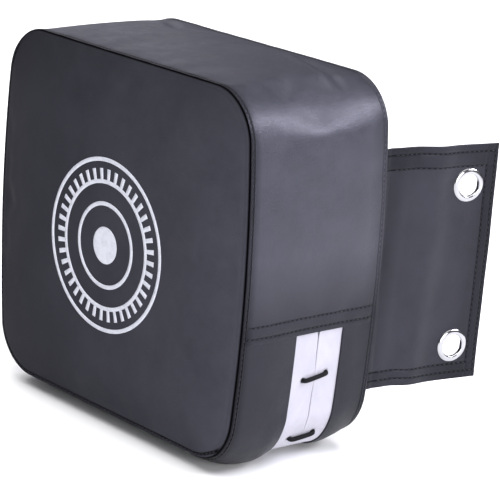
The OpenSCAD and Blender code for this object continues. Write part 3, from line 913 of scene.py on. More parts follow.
def sun_lamp(name, direction, degrees, power):
    """A broad far light. degrees is how wide it looks, and direction points to it."""
    lamp = bpy.data.lights.new(name, "SUN")
    lamp.angle = math.radians(degrees)
    lamp.energy = power
    obj = bpy.data.objects.new(name, lamp)
    obj.rotation_euler = Vector(direction).to_track_quat("Z", "Y").to_euler()
    scene.collection.objects.link(obj)


def make_light():
    """A broad lamp overhead, a weaker one at the right, and softboxes behind the pad on both sides."""
    world = bpy.data.worlds.new("studio")
    world.use_nodes = True
    background = world.node_tree.nodes["Background"]
    background.inputs["Color"].default_value = (0.90, 0.90, 1.0, 1)
    background.inputs["Strength"].default_value = 0.16
    scene.world = world
    sun_lamp("high_lamp", (-0.05, -0.10, 0.99), 70, 4.3)
    sun_lamp("side_fill", (0.93, -0.30, 0.22), 34, 2.6)
    area_light("low_left", (-2.5, 1.2, 0.95), (0, -0.1, 0.1), (1.3, 0.7), 3, (0.92, 0.92, 1.0))
    area_light("key_right", (1.3, 1.22, 1.19), (0.2, -0.1, 0.17), (1.4, 0.5), 48, (0.93, 0.93, 1.0))
    scene.view_settings.view_transform = "Standard"
    scene.view_settings.look = "None"


def make_floor():
    """A plain pale floor."""
    far = 5.0
    corners = [(-far, -far, FLOOR), (far, -far, FLOOR), (far, far, FLOOR), (-far, far, FLOOR)]
    floor = mesh_object("floor", corners, [(0, 1, 2, 3)])
    floor.data.materials.append(floor_material("pale_floor"))


# ---- the stuffed body: one closed mesh, swollen by a cloth simulation ----

def ring_cells(n):
    """The border of a grid of n by n cells, as (i, j), from the middle of the right side, up and round."""
    cells = [(n, j) for j in range(n // 2, n + 1)] + [(i, n) for i in range(n - 1, -1, -1)]
    cells += [(0, j) for j in range(n - 1, -1, -1)] + [(i, 0) for i in range(1, n + 1)]
    return cells + [(n, j) for j in range(1, n // 2)]


def block_index(n, rows):
    """The quads of a closed block, and the vertex numbers of its front grid, its sides and its rear grid."""
    ring = ring_cells(n)
    front = np.arange((n + 1) ** 2).reshape(n + 1, n + 1)
    inside = np.arange(4 * n * (rows - 1)).reshape(4 * n, rows - 1)
    rear = front.size + inside.size + front
    sides = np.zeros((4 * n, rows + 1), int)
    sides[:, 0] = [front[c] for c in ring]
    sides[:, 1:rows] = front.size + inside
    sides[:, rows] = [rear[c] for c in ring]
    faces = np.concatenate([quads(front), quads(sides, True)[:, ::-1], quads(rear)[:, ::-1]])
    return faces, front, sides, rear


def body_grid():
    """Where the simulated band's points are at rest: along the outline, and in depth."""
    t = np.arange(4 * FACE_N) / (4 * FACE_N) * ROUND
    return t, SEAM - np.arange(BAND_ROWS + 1) / BAND_ROWS * (SEAM - BACK)


def body_points():
    """The closed body's points at rest."""
    grid = np.linspace(-1, 1, FACE_N + 1)
    front = face_point(grid[:, None], grid[None, :])
    t, depth = body_grid()
    band = band_point(t[:, None], depth[None, :])
    rear = front.copy()
    rear[..., 1] = -BACK
    for k, c in enumerate(ring_cells(FACE_N)):
        front[c] = band[k, 0]
        rear[c] = band[k, -1]
    return np.concatenate([front.reshape(-1, 3), band[:, 1:-1].reshape(-1, 3), rear.reshape(-1, 3)])


def simulate_body():
    """Swells the cover with the pressure of its filling, pinned at every seam."""
    global band_shift, face_shift
    verts = body_points()
    faces, on_face, on_band, on_rear = block_index(FACE_N, BAND_ROWS)
    body = mesh_object("body_simulation", verts, faces)
    body.vertex_groups.new(name="pins").add(sewn_points(on_band, on_rear), 1.0, "REPLACE")
    moved = swollen_points(body) - verts
    mesh = body.data
    bpy.data.objects.remove(body)
    bpy.data.meshes.remove(mesh)
    face_shift = capped(softened(moved[on_face], False), 2.6 * MM)
    face_shift[..., 1] += 1.6 * MM * np.minimum(1, np.abs(face_shift[..., 1]) / (1.6 * MM))
    band_shift = capped(softened(moved[on_band], True), 4.0 * MM)
    band_shift[..., 1] *= 0.3


def sewn_points(on_band, on_rear):
    """The points that the seams hold: the back, both edges of the band, and the band along the slit."""
    t, depth = body_grid()
    low_columns = outline(t)[0][:, 1] < JOINT_Z
    slit_rows = (depth > SLIT_REAR - 5 * MM) & (depth < SLIT_FRONT + 5 * MM)
    pins = set(on_rear.ravel()) | set(on_band[:, 0]) | set(on_band[:, -1])
    pins |= set(on_band[low_columns][:, slit_rows].ravel())
    return [int(i) for i in pins]


def swollen_points(body):
    """The points of the body after its cloth simulation."""
    cloth = body.modifiers.new("cloth", "CLOTH")
    settings = cloth.settings
    settings.quality = 7
    settings.mass = 0.4
    settings.tension_stiffness = settings.compression_stiffness = 40
    settings.shear_stiffness = settings.bending_stiffness = 18
    settings.tension_damping = settings.compression_damping = settings.shear_damping = 12
    settings.air_damping = 2
    settings.use_pressure = True
    settings.uniform_pressure_force = 4
    settings.shrink_min = -0.004
    settings.vertex_group_mass = "pins"
    settings.effector_weights.gravity = 0
    cloth.collision_settings.use_collision = False
    cloth.collision_settings.use_self_collision = False
    cloth.point_cache.frame_start = 1
    cloth.point_cache.frame_end = SIMULATED_FRAMES
    for number in range(1, SIMULATED_FRAMES + 1):
        scene.frame_set(number)
    swollen = body.evaluated_get(bpy.context.evaluated_depsgraph_get()).to_mesh()
    final = np.zeros(len(swollen.vertices) * 3)
    swollen.vertices.foreach_get("co", final)
    scene.frame_set(1)
    return final.reshape(-1, 3)


def softened(moves, closed):
    """Moves averaged with their neighbours, so only broad swells and dents are left."""
    for _ in range(3):
        if closed:
            moves = (np.roll(moves, 1, 0) + 2 * moves + np.roll(moves, -1, 0)) / 4
        else:
            moves = np.concatenate([moves[:1], (moves[:-2] + 2 * moves[1:-1] + moves[2:]) / 4, moves[-1:]])
        middle = (moves[:, :-2] + 2 * moves[:, 1:-1] + moves[:, 2:]) / 4
        moves = np.concatenate([moves[:, :1], middle, moves[:, -1:]], axis=1)
    return moves


def capped(moves, cap):
    """Moves of at most cap, with the small ones unchanged."""
    size = np.linalg.norm(moves, axis=-1, keepdims=True)
    return moves * np.where(size > 1e-9, cap * np.tanh(size / cap) / np.maximum(size, 1e-9), 1)


# ---- cover ----

ROLL_FACE = 1.7 * MM                      # radius of the face's rolled edge
ROLL_WELT = 1.3 * MM                      # and of the welt's
WELT_EDGE = SEAM + 0.9 * MM               # depth where the welt's roll touches the face's


def edge_row(t):
    """(distance from the edge, share) of the face's own row, which ends at the right and the top."""
    n = outline(t)[1]
    share = smooth((0.45 - n[..., 0] - n[..., 1]) / 0.9)
    return 3.6 * MM * share, share


def make_face_row():
    """The row of stitches along the left and lower edges of the face."""
    q = np.linspace(2.85, 7.15, 900)
    a = np.clip(np.where(q < 3, 2 - q, np.where(q < 5, -1, q - 6)), -1, 1)
    b = np.clip(np.where(q < 3, 1, np.where(q < 5, 4 - q, -1)), -1, 1)
    away, share = edge_row(q / 8 * ROUND)
    seen = share > 0.45
    side = (1 - away / HALF)[seen]
    a, b = a[seen] * side, b[seen] * side
    n = face_normal(a, b)
    row = [(face_point(a, b) - n * 0.35 * MM, n)]
    finish_piece(stitches("face_edge_stitches", row), THREAD)


def make_face():
    """The striking face. Its edge rolls down into the seam, where the leather also dips a little."""
    rolled = roll(ROLL_FACE)
    near = [1.7, 2.1, 2.5, 2.9, 3.3, 3.7, 4.1, 4.6, 5.2, 6.0, 7.2, 9.0, 11.5, 15.0] * np.array(MM)
    inset = np.concatenate([rolled[:-1, 0], near, np.arange(18.5 * MM, HALF, CELL)])
    drop = np.concatenate([rolled[:-1, 1], np.zeros(len(inset) - len(rolled) + 1)])
    side = 1 - inset / HALF
    c = np.concatenate([-side, side[::-1]])
    drop = np.concatenate([drop, drop[::-1]])
    a, b = c[:, None], c[None, :]
    m, t = square_to_round(a, b)
    from_edge = (1 - m) * HALF
    row_at, share = edge_row(t)
    from_row = from_edge - row_at
    outer = face_point(a, b)
    outer[..., 1] += np.maximum(drop[:, None], drop[None, :])
    outer[..., 1] += 0.54 * MM * hill(from_edge - 5 * MM, 2.2 * MM)
    outer[..., 1] += 0.6 * MM * share * hill(from_row, 1.1 * MM)
    widest = 1 - ROLL_FACE * 0.9 / HALF
    flat = np.clip(c, -widest, widest)
    tuck = np.linspace(0, 0.5 * MM / HALF, len(rolled) - 1)
    flat[:len(tuck)] += tuck
    flat[-len(tuck):] -= tuck[::-1]
    inner = face_point(flat[:, None], flat[None, :]) - WALL * face_normal(flat[:, None], flat[None, :])
    face = shell("striking_face", outer, inner, uv=np.stack([from_row, 1 - smooth(share / 0.5)], -1))
    return finish_piece(face, LEATHER_FACE, nodes=["face_panel"])


def spread(a, b):
    """Places from a to b, about a cell apart."""
    return list(np.linspace(a, b, max(int((b - a) / CELL), 2)))


def band_panel(name, t_from, t_to, depths, drops, node_name):
    """A panel of the band. depths run from back to front, and drops roll its edges down."""
    depths = np.asarray(depths)
    t = np.linspace(t_from, t_to, int((t_to - t_from) / CELL) + 1)[:, None]
    normals = band_normal(t, depths[None, :])
    outer = band_point(t, depths[None, :]) - normals * np.asarray(drops)[None, :, None]
    under = np.clip(depths, depths.min() + 1.2 * MM, depths.max() - 1.2 * MM)
    under = np.maximum.accumulate(under + np.linspace(-0.2, 0.2, len(depths)) * MM)[None, :]
    inner = band_point(t, under) - band_normal(t, under) * WALL
    panel = shell(name, outer, inner)
    finish_piece(panel, LEATHER_BAND, nodes=[node_name])


def make_bands():
    """The upper band, and the lower band's two strips with their folded edges along the slit."""
    raw = 1.5 * MM                                    # the band's raw edges lie under the welts
    past_fold = 1.8 * MM
    upper = spread(BACK + raw, SEAM - raw)
    band_panel("upper_band_cover", RIGHT_END, LEFT_END, upper, np.zeros(len(upper)), "upper_band")
    fold = roll(1.1 * MM, 150, 7)
    front = list(SLIT_FRONT + fold[:, 0]) + spread(SLIT_FRONT + past_fold, SEAM - raw)
    drops = list(fold[:, 1]) + [0] * (len(front) - len(fold))
    band_panel("lower_front_cover", LEFT_END, LOWER_END, front, drops, "lower_band_front")
    rear = spread(BACK + raw, SLIT_REAR - past_fold) + list(SLIT_REAR - fold[::-1, 0])
    drops = [0] * (len(rear) - len(fold)) + list(fold[::-1, 1])
    band_panel("lower_rear_cover", LEFT_END, LOWER_END, rear, drops, "lower_band_rear")


def pucker(run):
    """The leather between two stitches stands a little higher than under a stitch."""
    return 0.5 + 0.5 * np.cos(2 * np.pi * run / STITCH)


def welt_profile():
    """(distance from the seam, height over the band) round the welt's cross-section."""
    top = roll(ROLL_WELT, 130, 6)
    top[:, 1] = 0.8 * MM - top[:, 1]
    shape = [(2.2, 0.8), (3.1, 0.78), (3.7, 0.52), (4.2, 0.2), (4.6, 0.06), (5.0, 0.2), (5.5, 0.48),
             (6.2, 0.56), (6.8, 0.44), (7.2, 0.2), (7.4, -0.2)]
    under = [(6.0, -0.45), (3.0, -0.5), (1.6, -0.9)]
    return np.concatenate([top, np.array(shape) * MM, np.array(under) * MM])


def make_welt(name, edge, inward, node_name):
    """The folded seam allowance along a seam, held down by a row of stitches."""
    count = int(round(ROUND / STITCH)) * 4
    t = np.arange(count) / count * ROUND
    profile = welt_profile()
    depth = edge + inward * profile[:, 0]
    points = band_point(t[:, None], depth[None, :])
    flat_depth = edge + inward * np.maximum(profile[:, 0], 1.5 * MM)
    normals = band_normal(t[:, None], flat_depth[None, :])
    height = np.broadcast_to(profile[:, 1], points.shape[:2]).copy()
    near = (hill(profile[:, 0] - WELT_ROW, 1.0 * MM) * (profile[:, 1] > 0))[None, :]
    height += 0.5 * MM * near * pucker(t)[:, None] ** 2
    turn = 2 * np.pi * t / ROUND
    ripple = 0.12 * MM * np.sin(31 * turn + 1.0) + 0.08 * MM * np.sin(53 * turn)
    height += ripple[:, None] * hill(profile[:, 0] - 3 * MM, 2 * MM)[None, :]
    welt = loop_tube(name, points + normals * height[..., None], True)
    finish_piece(welt, LEATHER_BAND, nodes=[node_name])
    row_depth = np.full(len(t) + 1, edge + inward * WELT_ROW)
    row_t = np.append(t, ROUND)
    n = band_normal(row_t, row_depth)
    row = [(band_point(row_t, row_depth) + n * 0.12 * MM, n)]
    finish_piece(stitches(name + "_stitches", row), THREAD)


STRIP_PROFILE = [                         # (distance down from the strip's top, height), in mm
    (0.3, -0.5), (0.1, -0.3), (0.0, -0.1), (0.05, 0.05), (0.25, 0.12), (0.6, 0.18), (1.1, 0.2), (1.6, 0.15),
    (2.1, 0.3), (3.0, 0.5), (4.6, 0.75), (6.6, 0.95), (8.8, 1.05), (10.8, 1.05), (12.4, 0.95), (13.5, 0.7),
    (14.1, 0.45), (14.7, 0.7), (15.7, 1.0), (17.0, 1.15), (18.4, 1.2), (19.4, 1.15), (20.0, 1.0),
    (20.35, 0.7), (20.5, 0.35), (20.5, -0.1), (20.3, -0.5),
    (17.0, -0.55), (12.0, -0.55), (7.0, -0.55), (2.0, -0.55)]


def make_strip(side):
    """The lap over a side joint, sewn down along both edges."""
    z, h = np.array(STRIP_PROFILE).T * MM
    t = np.array([t_at_z(STRIP_TOP - d) for d in z])
    if side < 0:
        t = ROUND / 2 - t
    first, last = BACK + 7.1 * MM, SEAM - 6.2 * MM
    depth = np.linspace(first, last, int((last - first) / (STITCH / 4)) + 1)
    points = band_point(t[None, :], depth[:, None])
    normals = band_normal(t[None, :], depth[:, None])
    from_end = np.minimum(depth - first, last - depth)
    height = h[None, :] * (0.1 + 0.9 * smooth(from_end / (7 * MM)))[:, None]
    for row in STRIP_ROWS:
        near = (hill(z - row, 0.8 * MM) * (h > 0))[None, :]
        height += 0.34 * MM * near * (pucker(depth) - 0.5)[:, None]
    name = "joint_strip_" + WORDS[side]
    strip = loop_tube(name + "_cover", points + normals * height[..., None], False)
    finish_piece(strip, LEATHER_STRIP, nodes=[name])
    rows = []
    for row in STRIP_ROWS:
        tt = t_at_z(STRIP_TOP - row)
        tt = tt if side > 0 else ROUND / 2 - tt
        dd = np.linspace(first + 1 * MM, last - 1 * MM, 200)
        n = band_normal(tt, dd)
        rows.append((band_point(tt, dd) + n * (0.15 * MM if row < 5 * MM else 0.5 * MM), n))
    finish_piece(stitches(name + "_stitches", rows), THREAD)


# ---- printed target ----

def print_point(x, z):
    """The face's surface over a place (x, z), with its normal, for places near the middle."""
    scale = face_point(0.62, 0.0)[0] / 0.62
    a, b = x / scale, z / scale
    for _ in range(6):
        here = face_point(a, b)
        a = a + (x - here[..., 0]) / scale
        b = b + (z - here[..., 2]) / scale
    return face_point(a, b), face_normal(a, b)


RING_WIDE = 4.5 * MM
MARKS = 40                                # the short radial marks round the second ring
MARK_LONG = 12 * MM
MARK_WIDE = 5 * MM


def make_print():
    """Three rings, a dot and a scale of short marks in ink, laid on the crowned face."""
    lo_c, hi_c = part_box("face_print")
    centre_x, centre_z = (lo_c.x + hi_c.x) / 2, (lo_c.z + hi_c.z) / 2
    largest = (hi_c.x - lo_c.x) / 2
    pitch = largest / 4
    parts = []
    for k in range(3):
        edge = largest - k * pitch
        parts.append(print_patch(centre_x, centre_z, edge - RING_WIDE, edge, 0, 2 * np.pi, 240, True))
    parts.append(print_patch(centre_x, centre_z, 0.02 * MM, pitch * 0.85, 0, 2 * np.pi, 120, True))
    edge = largest - pitch
    for k in range(MARKS):
        a, half = 2 * np.pi * k / MARKS, MARK_WIDE / 2 / (edge + MARK_LONG / 2)
        parts.append(print_patch(centre_x, centre_z, edge, edge + MARK_LONG, a - half, a + half, 3, False))
    return parts


def print_patch(cx, cz, r0, r1, a0, a1, steps, closed):
    """A thin patch of ink between two radii and two angles."""
    rows = max(int((r1 - r0) / (1.6 * MM)), 2) + 1
    r = np.linspace(r0, r1, rows)[None, :]
    a = np.linspace(a0, a1, steps, endpoint=not closed)[:, None]
    x, z = cx + r * np.cos(a), cz + r * np.sin(a)
    points, normals = print_point(x, z)
    thick = 0.22 * MM
    outer, inner = points + normals * thick, points - normals * 0.05 * MM
    return shell("ink", outer, inner, wrap=closed)


# ---- closure: two tapes laced together over the slit ----

CROSSINGS = 9                             # of the lace, over the slit
ROUTE = 652.05 * MM                       # length of the slit from joint to joint, as the lace counts it
FIRST = 60 * MM                           # from the joint to the first crossing
HALF_SPAN = 16 * MM                       # from the slit to the holes
SLANT = 2 * MM                            # how far each hole is off the crossing's middle, along the slit
LACE_R = 2.5 * MM
TAPE_SINK = 1.75 * MM                     # depth of the tapes' outer face under the band's


def t_route(s):
    """Where a place along the slit lies on the outline."""
    return LOWER_END - np.asarray(s) * (LOWER_END - LEFT_END) / ROUTE


def crossing_s(i):
    """Where a crossing of the lace is along the slit."""
    return FIRST + i * (ROUTE - 2 * FIRST) / (CROSSINGS - 1)


def pull(t):
    """1 under a crossing of the lace, 0 half way between two of them."""
    s = (LOWER_END - t) / (LOWER_END - LEFT_END) * ROUTE
    places = np.array([crossing_s(i) for i in range(CROSSINGS)])
    nearest = np.min(np.abs(np.asarray(s)[..., None] - places), -1)
    return hill(nearest, 13 * MM)


def tape_surface(t, depth, height=0.0):
    """A place over the outer face of the tapes, which lie just under the band's leather."""
    t, depth = both(t, depth)
    n = band_normal(t, depth)
    return band_point(t, depth) + n * (np.asarray(height) - TAPE_SINK)[..., None], n


def hole_place(i, side):
    """(t, depth) of a tape's hole at a crossing."""
    return float(t_route(crossing_s(i) + side * SLANT)), SLIT + side * HALF_SPAN


def middles(grid):
    """The middle of each of a grid's quads."""
    return (grid[:-1, :-1] + grid[1:, :-1] + grid[1:, 1:] + grid[:-1, 1:]) / 4


def open_holes(t, depth, holes, r_hole, r_reach):
    """Moves grid places away from each hole's middle, and marks the quads that stay."""
    t, depth = t.copy(), depth.copy()
    for ht, hd in holes:
        dt, dd = t - ht, depth - hd
        far = np.hypot(dt, dd)
        near = far < r_reach
        wanted = r_hole + (r_reach - r_hole) * far / r_reach
        scale = np.where(near, wanted / np.maximum(far, 1e-6), 1)
        t, depth = ht + dt * scale, hd + dd * scale
    middle_t, middle_d = middles(t), middles(depth)
    keep = np.ones(middle_t.shape, bool)
    for ht, hd in holes:
        keep &= np.hypot(middle_t - ht, middle_d - hd) > r_hole * 0.92
    return t, depth, keep


def make_tape(name, side, node_name):
    """One tape: side is 1 in front of the slit, -1 behind it."""
    t = np.linspace(LEFT_END + 0.5 * MM, LOWER_END - 0.5 * MM, 440)
    out = np.concatenate([[0, 0.25, 0.7, 1.3, 2.0], np.arange(3.2, 41, 1.5)]) * MM
    from_joint = np.minimum(t - LEFT_END, LOWER_END - t)
    gap = 0.10 * MM + 0.4 * MM * (1 - pull(t)) + 2.2 * MM * hill(from_joint, 14 * MM)
    depth = SLIT + side * (gap[:, None] + out[None, :] * (1 - gap[:, None] / out[-1]))
    holes = [hole_place(i, side) for i in range(CROSSINGS)]
    tt = np.repeat(t[:, None], len(out), 1)
    tt, depth, keep = open_holes(tt, depth, holes, 2.9 * MM, 6.5 * MM)
    from_slit = np.abs(depth - SLIT)
    height = 0.7 * MM * pull(tt) * np.exp(-from_slit / (7 * MM))
    height += 0.22 * MM * hill(from_slit - 1.3 * MM, 1.0 * MM)
    ripple = np.sin(tt * 2 * np.pi / (23 * MM) + 3 * from_slit / (10 * MM))
    height += 0.16 * MM * ripple * hill(from_slit - 14 * MM, 9 * MM)
    height -= 0.3 * MM * (from_slit < 0.9 * MM + gap[:, None])
    outer, n = tape_surface(tt, depth, height)
    inner = outer - n * 1.1 * MM
    uv = np.stack([tt, depth], -1)
    tape = shell(name, outer, inner, uv=uv, keep=keep)
    return finish_piece(tape, WEBBING, nodes=[node_name])


def make_underlay():
    """The cloth strip inside the slit."""
    t = np.linspace(LEFT_END + 1 * MM, LOWER_END - 1 * MM, 160)[:, None]
    depth = (SLIT + np.linspace(-39, 39, 28) * MM)[None, :]
    ripple = 0.35 * MM * np.sin(t / (17 * MM) + depth / (9 * MM))
    p, n = tape_surface(t, depth, ripple - 11.4 * MM)
    uv = np.stack(np.broadcast_arrays(t, depth), -1)
    piece = shell("slit_lining", p, p - n * 0.8 * MM, uv=uv)
    finish_piece(piece, LINING, nodes=["closure_underlay"])


# A crossing from inside to inside: (share of the slant, mm across from the front hole, mm over the tapes).
CROSSING = [(1, 0.4, -4.8), (1, 0.2, -1.5), (1, -0.4, 1.5), (0.8, -3.5, 3.3), (0, -16, 3.7),
            (-0.8, -28.5, 3.3), (-1, -31.6, 1.5), (-1, -32.2, -1.5), (-1, -32.4, -4.8)]


def lace_path():
    """The lace's middle line: over each crossing, then slantwise inside to the next."""
    places = []
    for i in range(CROSSINGS):
        for along, inward, height in CROSSING:
            places.append((crossing_s(i) + along * SLANT, SLIT + HALF_SPAN + inward * MM, height * MM))
        if i < CROSSINGS - 1:
            step = crossing_s(1) - crossing_s(0)
            for f in (0.25, 0.5, 0.75):
                places.append((crossing_s(i) + f * step, SLIT + (2 * f - 1) * HALF_SPAN, -5.8 * MM))
    places = np.array(places)
    p, _ = tape_surface(t_route(places[:, 0]), places[:, 1], places[:, 2])
    return catmull(p, 6)


def make_lace():
    """The braided lace, with its knots and rings."""
    path, run = resample(lace_path(), 0.75 * MM)
    a = np.linspace(0, 2 * np.pi, 24, endpoint=False)[None, :]
    turn = 2 * np.pi * run[:, None] / (7 * MM)
    braid = np.maximum(np.cos(6 * a + turn * 3), np.cos(6 * a - turn * 3))
    lace = tube("lace", path, LACE_R - 0.16 * MM + 0.16 * MM * braid, 24)
    finish_piece(lace, LACE, nodes=["closure_lace"])
    knots = [knot(path[0], path[3]), knot(path[-1], path[-4])]
    finish_piece(join("lace_end_knots", knots), LACE, nodes=["lace_knots"])
    rings = [ring(*hole_place(i, side)) for i in range(CROSSINGS) for side in (1, -1)]
    finish_piece(join("lace_rings", rings), NICKEL, nodes=["lace_eyelets"])


def knot(end, back):
    """A stopper knot just past the lace's end, drawn as a trefoil."""
    d = (end - back) / np.linalg.norm(end - back)
    u = np.cross(d, [0.3, 0.2, 0.9])
    u /= np.linalg.norm(u)
    v = np.cross(d, u)
    q = np.linspace(0, 2 * np.pi, 60, endpoint=False)
    x, y, z = np.sin(q) + 2 * np.sin(2 * q), np.cos(q) - 2 * np.cos(2 * q), -np.sin(3 * q)
    line = end + d * 3.2 * MM + 0.8 * MM * (x[:, None] * u + y[:, None] * v + 1.6 * z[:, None] * d)
    return tube("knot", np.vstack([line, line[:2]]), 1.15 * MM, 10)


RING_PROFILE = [                          # (radius, height), in mm
    (2.75, -1.4), (2.75, 0.1), (2.85, 0.3), (3.1, 0.4), (3.4, 0.38), (3.65, 0.25), (3.8, 0.05),
    (3.75, -0.08), (3.2, -0.12), (3.2, -1.4)]


def ring(t, depth):
    """One of the small metal rings that the lace runs through."""
    p, n = tape_surface(t, depth)
    along = band_point(t + 1 * MM, depth) - band_point(t - 1 * MM, depth)
    along -= n * (along @ n)
    along /= np.linalg.norm(along)
    return loop_tube("ring", lathe(np.array(RING_PROFILE) * MM, p, n, along, 40), True)


# ---- mounting sheet and wings ----
# Drawn flat: s runs outwards from the fold line, h is the height over the wall side.

# The bend runs from the pad's back, through the fold, to the wing's root. Both points are (x, y).
BEND_START = np.array([FOLD_X - 6 * MM, 0.0])
BEND_END = np.array([FOLD_X + 12 * MM * math.cos(SWING), 12 * MM * math.sin(SWING)])


def swung(side, s, h, z):
    """A flat place of the sheet at rest, bent round the fold, with its lower end hanging in."""
    s, h, z = both(s, h, z)
    h = h - 0.045 * np.clip(s - 12 * MM, 0, None) * (WING_TOP - z) / (WING_TOP - WING_BOTTOM)
    run = BEND_END - BEND_START
    share = np.full(s.shape, 0.5)
    for _ in range(80):
        a = share * SWING
        x = FOLD_X + s * np.cos(a) + h * np.sin(a)
        y = s * np.sin(a) - h * np.cos(a)
        t = ((x - BEND_START[0]) * run[0] + (y - BEND_START[1]) * run[1]) / (run @ run)
        share = 0.5 * share + 0.5 * smooth(t)
    a = share * SWING
    x = FOLD_X + s * np.cos(a) + h * np.sin(a)
    y = s * np.sin(a) - h * np.cos(a)
    return np.stack([side * x, y, z], -1)


def bend(piece):
    """Bakes the piece's placement into its points. The piece is drawn already bent round the fold."""
    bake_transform(piece)


def eyelet_places():
    """(s, z) of a wing's two eyelets."""
    places = []
    for name in ("wing_right_upper_grommet", "wing_right_lower_grommet"):
        a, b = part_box(name)
        mid = (a + b) / 2
        reach = (mid.x - FOLD_X) * math.cos(SWING) + mid.y * math.sin(SWING)
        places.append((reach, mid.z))
    return places


EYELETS = eyelet_places()


def wave(s, z):
    """The wing's gentle waves. It stays flat at the fold and round the eyelets."""
    free = smooth((s - 8 * MM) / (34 * MM))
    for es, ez in EYELETS:
        free = free * (1 - hill(np.hypot(s - es, z - ez), 27 * MM))
    tall = 3.8 * hill(s - 66 * MM - 0.07 * z, 17 * MM) - 2.0 * hill(s - 38 * MM - 0.05 * z, 14 * MM)
    slow = 0.7 * np.sin(z / (38 * MM) + 1.3) * smooth((s - 60 * MM) / (60 * MM))
    small = 0.25 * np.sin(z / (13 * MM) + s / (21 * MM)) * np.sin(s / (17 * MM))
    return free * (tall + slow + small) * MM


def hem_relief(s, z):
    """Height of the front over the flat: a little more over the hems, and sunk along the stitches."""
    over = np.zeros(np.broadcast(s, z).shape)
    sink = np.zeros(over.shape)
    fade = smooth((s - 2 * MM) / (10 * MM))
    edges = ((WING_TOP - z, s, TOP_HEM, TOP_ROWS), (z - WING_BOTTOM, s, BOTTOM_HEM, BOTTOM_ROWS),
             (WING_LEN - s, z, END_HEM, END_ROWS))
    for d, along, width, rows in edges:
        over = np.maximum(over, 1 - smooth((d - width + 1 * MM) / (2.4 * MM)))
        for row in rows:
            held = 0.75 + 0.25 * np.cos(2 * np.pi * along / STITCH)
            sink = np.maximum(sink, held * hill(d - row, 1.2 * MM))
    return (0.45 * over - 0.55 * sink * fade) * MM


def rolled_drop(fold, count, first=True):
    """How far a row of count places drops at its rolled ends. Without first it drops only at the last."""
    drop = np.zeros(count)
    if first:
        drop[:len(fold)] = fold[:, 1]
    drop[-len(fold):] = fold[::-1, 1]
    return drop


def hem_run(fold, a, b, step):
    """Places across a hem from a to b, with both edges rolled."""
    middle = np.linspace(a + 1.3 * MM, b - 1.3 * MM, max(int((b - a) / step), 3))
    return np.concatenate([a + fold[:, 0], middle, b - fold[::-1, 0]])


def make_sheet(side):
    """Half of the mounting sheet, which runs on over the fold as the wing."""
    word = WORDS[side]
    fold = roll(1.05 * MM, 90, 4)
    s = np.concatenate([np.linspace(-FOLD_X, -16 * MM, 44), np.arange(-14, 22, 1.0) * MM,
                        np.arange(23.5 * MM, WING_LEN - 21 * MM, 1.5 * MM),
                        np.arange(WING_LEN - 20.5 * MM, WING_LEN - 1.6 * MM, 0.9 * MM),
                        WING_LEN - fold[::-1, 0]])
    z = np.concatenate([WING_BOTTOM + fold[:, 0],
                        np.arange(WING_BOTTOM + 1.9 * MM, WING_BOTTOM + 23 * MM, 0.95 * MM),
                        np.arange(WING_BOTTOM + 24.2 * MM, WING_TOP - 29 * MM, 1.5 * MM),
                        np.arange(WING_TOP - 28.3 * MM, WING_TOP - 1.6 * MM, 0.95 * MM),
                        WING_TOP - fold[::-1, 0]])
    drop_s = rolled_drop(fold, len(s), first=False)
    drop_z = rolled_drop(fold, len(z))
    ss, zz = both(s[:, None], z[None, :])
    ss, zz, keep = open_holes(ss, zz, EYELETS, 13.5 * MM, 25 * MM)
    outside = smooth((ss + 4 * MM) / (10 * MM))                  # 0 on the pad's back, 1 on the wing
    front = (2.95 * MM) * (1 - outside) + 2.6 * MM * outside
    rear = 0.08 * MM * (1 - outside) + 1.0 * MM * outside
    lower = np.maximum(drop_s[:, None], drop_z[None, :])
    ripple = wave(ss, zz) * outside
    on_front = front + ripple + hem_relief(ss, zz) * outside - lower
    on_rear = np.minimum(rear + ripple, on_front - 0.25 * MM)
    outer, inner = swung(side, ss, on_front, zz), swung(side, ss, on_rear, zz)
    sheet = shell("mounting_sheet_" + word, outer, inner, uv=np.stack([ss, zz], -1), keep=keep)
    body = "wing_" + word
    bend(sheet)
    return finish_piece(sheet, LEATHER_WING, None, ["mount_sheet", body + "_panel"])


def make_hem(side, which):
    """The leather turned over along an edge of the wing, on its wall side."""
    body = "wing_" + WORDS[side]
    lo_s, hi_s, lo_z, hi_z = {
        "top": (1.5 * MM, WING_LEN, WING_TOP - TOP_HEM, WING_TOP),
        "bottom": (1.5 * MM, WING_LEN, WING_BOTTOM, WING_BOTTOM + BOTTOM_HEM),
        "end": (WING_LEN - END_HEM, WING_LEN, WING_BOTTOM + BOTTOM_HEM, WING_TOP - TOP_HEM)}[which]
    fold = roll(0.55 * MM, 90, 3)
    fine_s, fine_z = (1.6 * MM, 1.0 * MM) if which != "end" else (1.0 * MM, 3.0 * MM)
    s, z = hem_run(fold, lo_s, hi_s, fine_s), hem_run(fold, lo_z, hi_z, fine_z)
    lower = np.maximum(rolled_drop(fold, len(s))[:, None], rolled_drop(fold, len(z))[None, :])
    ss, zz = both(s[:, None], z[None, :])
    sink = np.zeros(ss.shape)
    for d, rows in ((WING_TOP - zz, TOP_ROWS), (zz - WING_BOTTOM, BOTTOM_ROWS), (WING_LEN - ss, END_ROWS)):
        for row in rows:
            sink = np.maximum(sink, hill(d - row, 1.0 * MM))
    ripple = wave(ss, zz)
    h = ripple + lower + 0.25 * MM * sink * smooth((ss - 4 * MM) / (8 * MM))
    outer = swung(side, ss, h, zz)
    inner = swung(side, ss, ripple + 1.02 * MM, zz)
    hem = shell(f"{body}_{which}_hem_cover", outer, inner)
    bend(hem)
    return finish_piece(hem, LEATHER_HEM, None, [f"{body}_{which}_hem"])


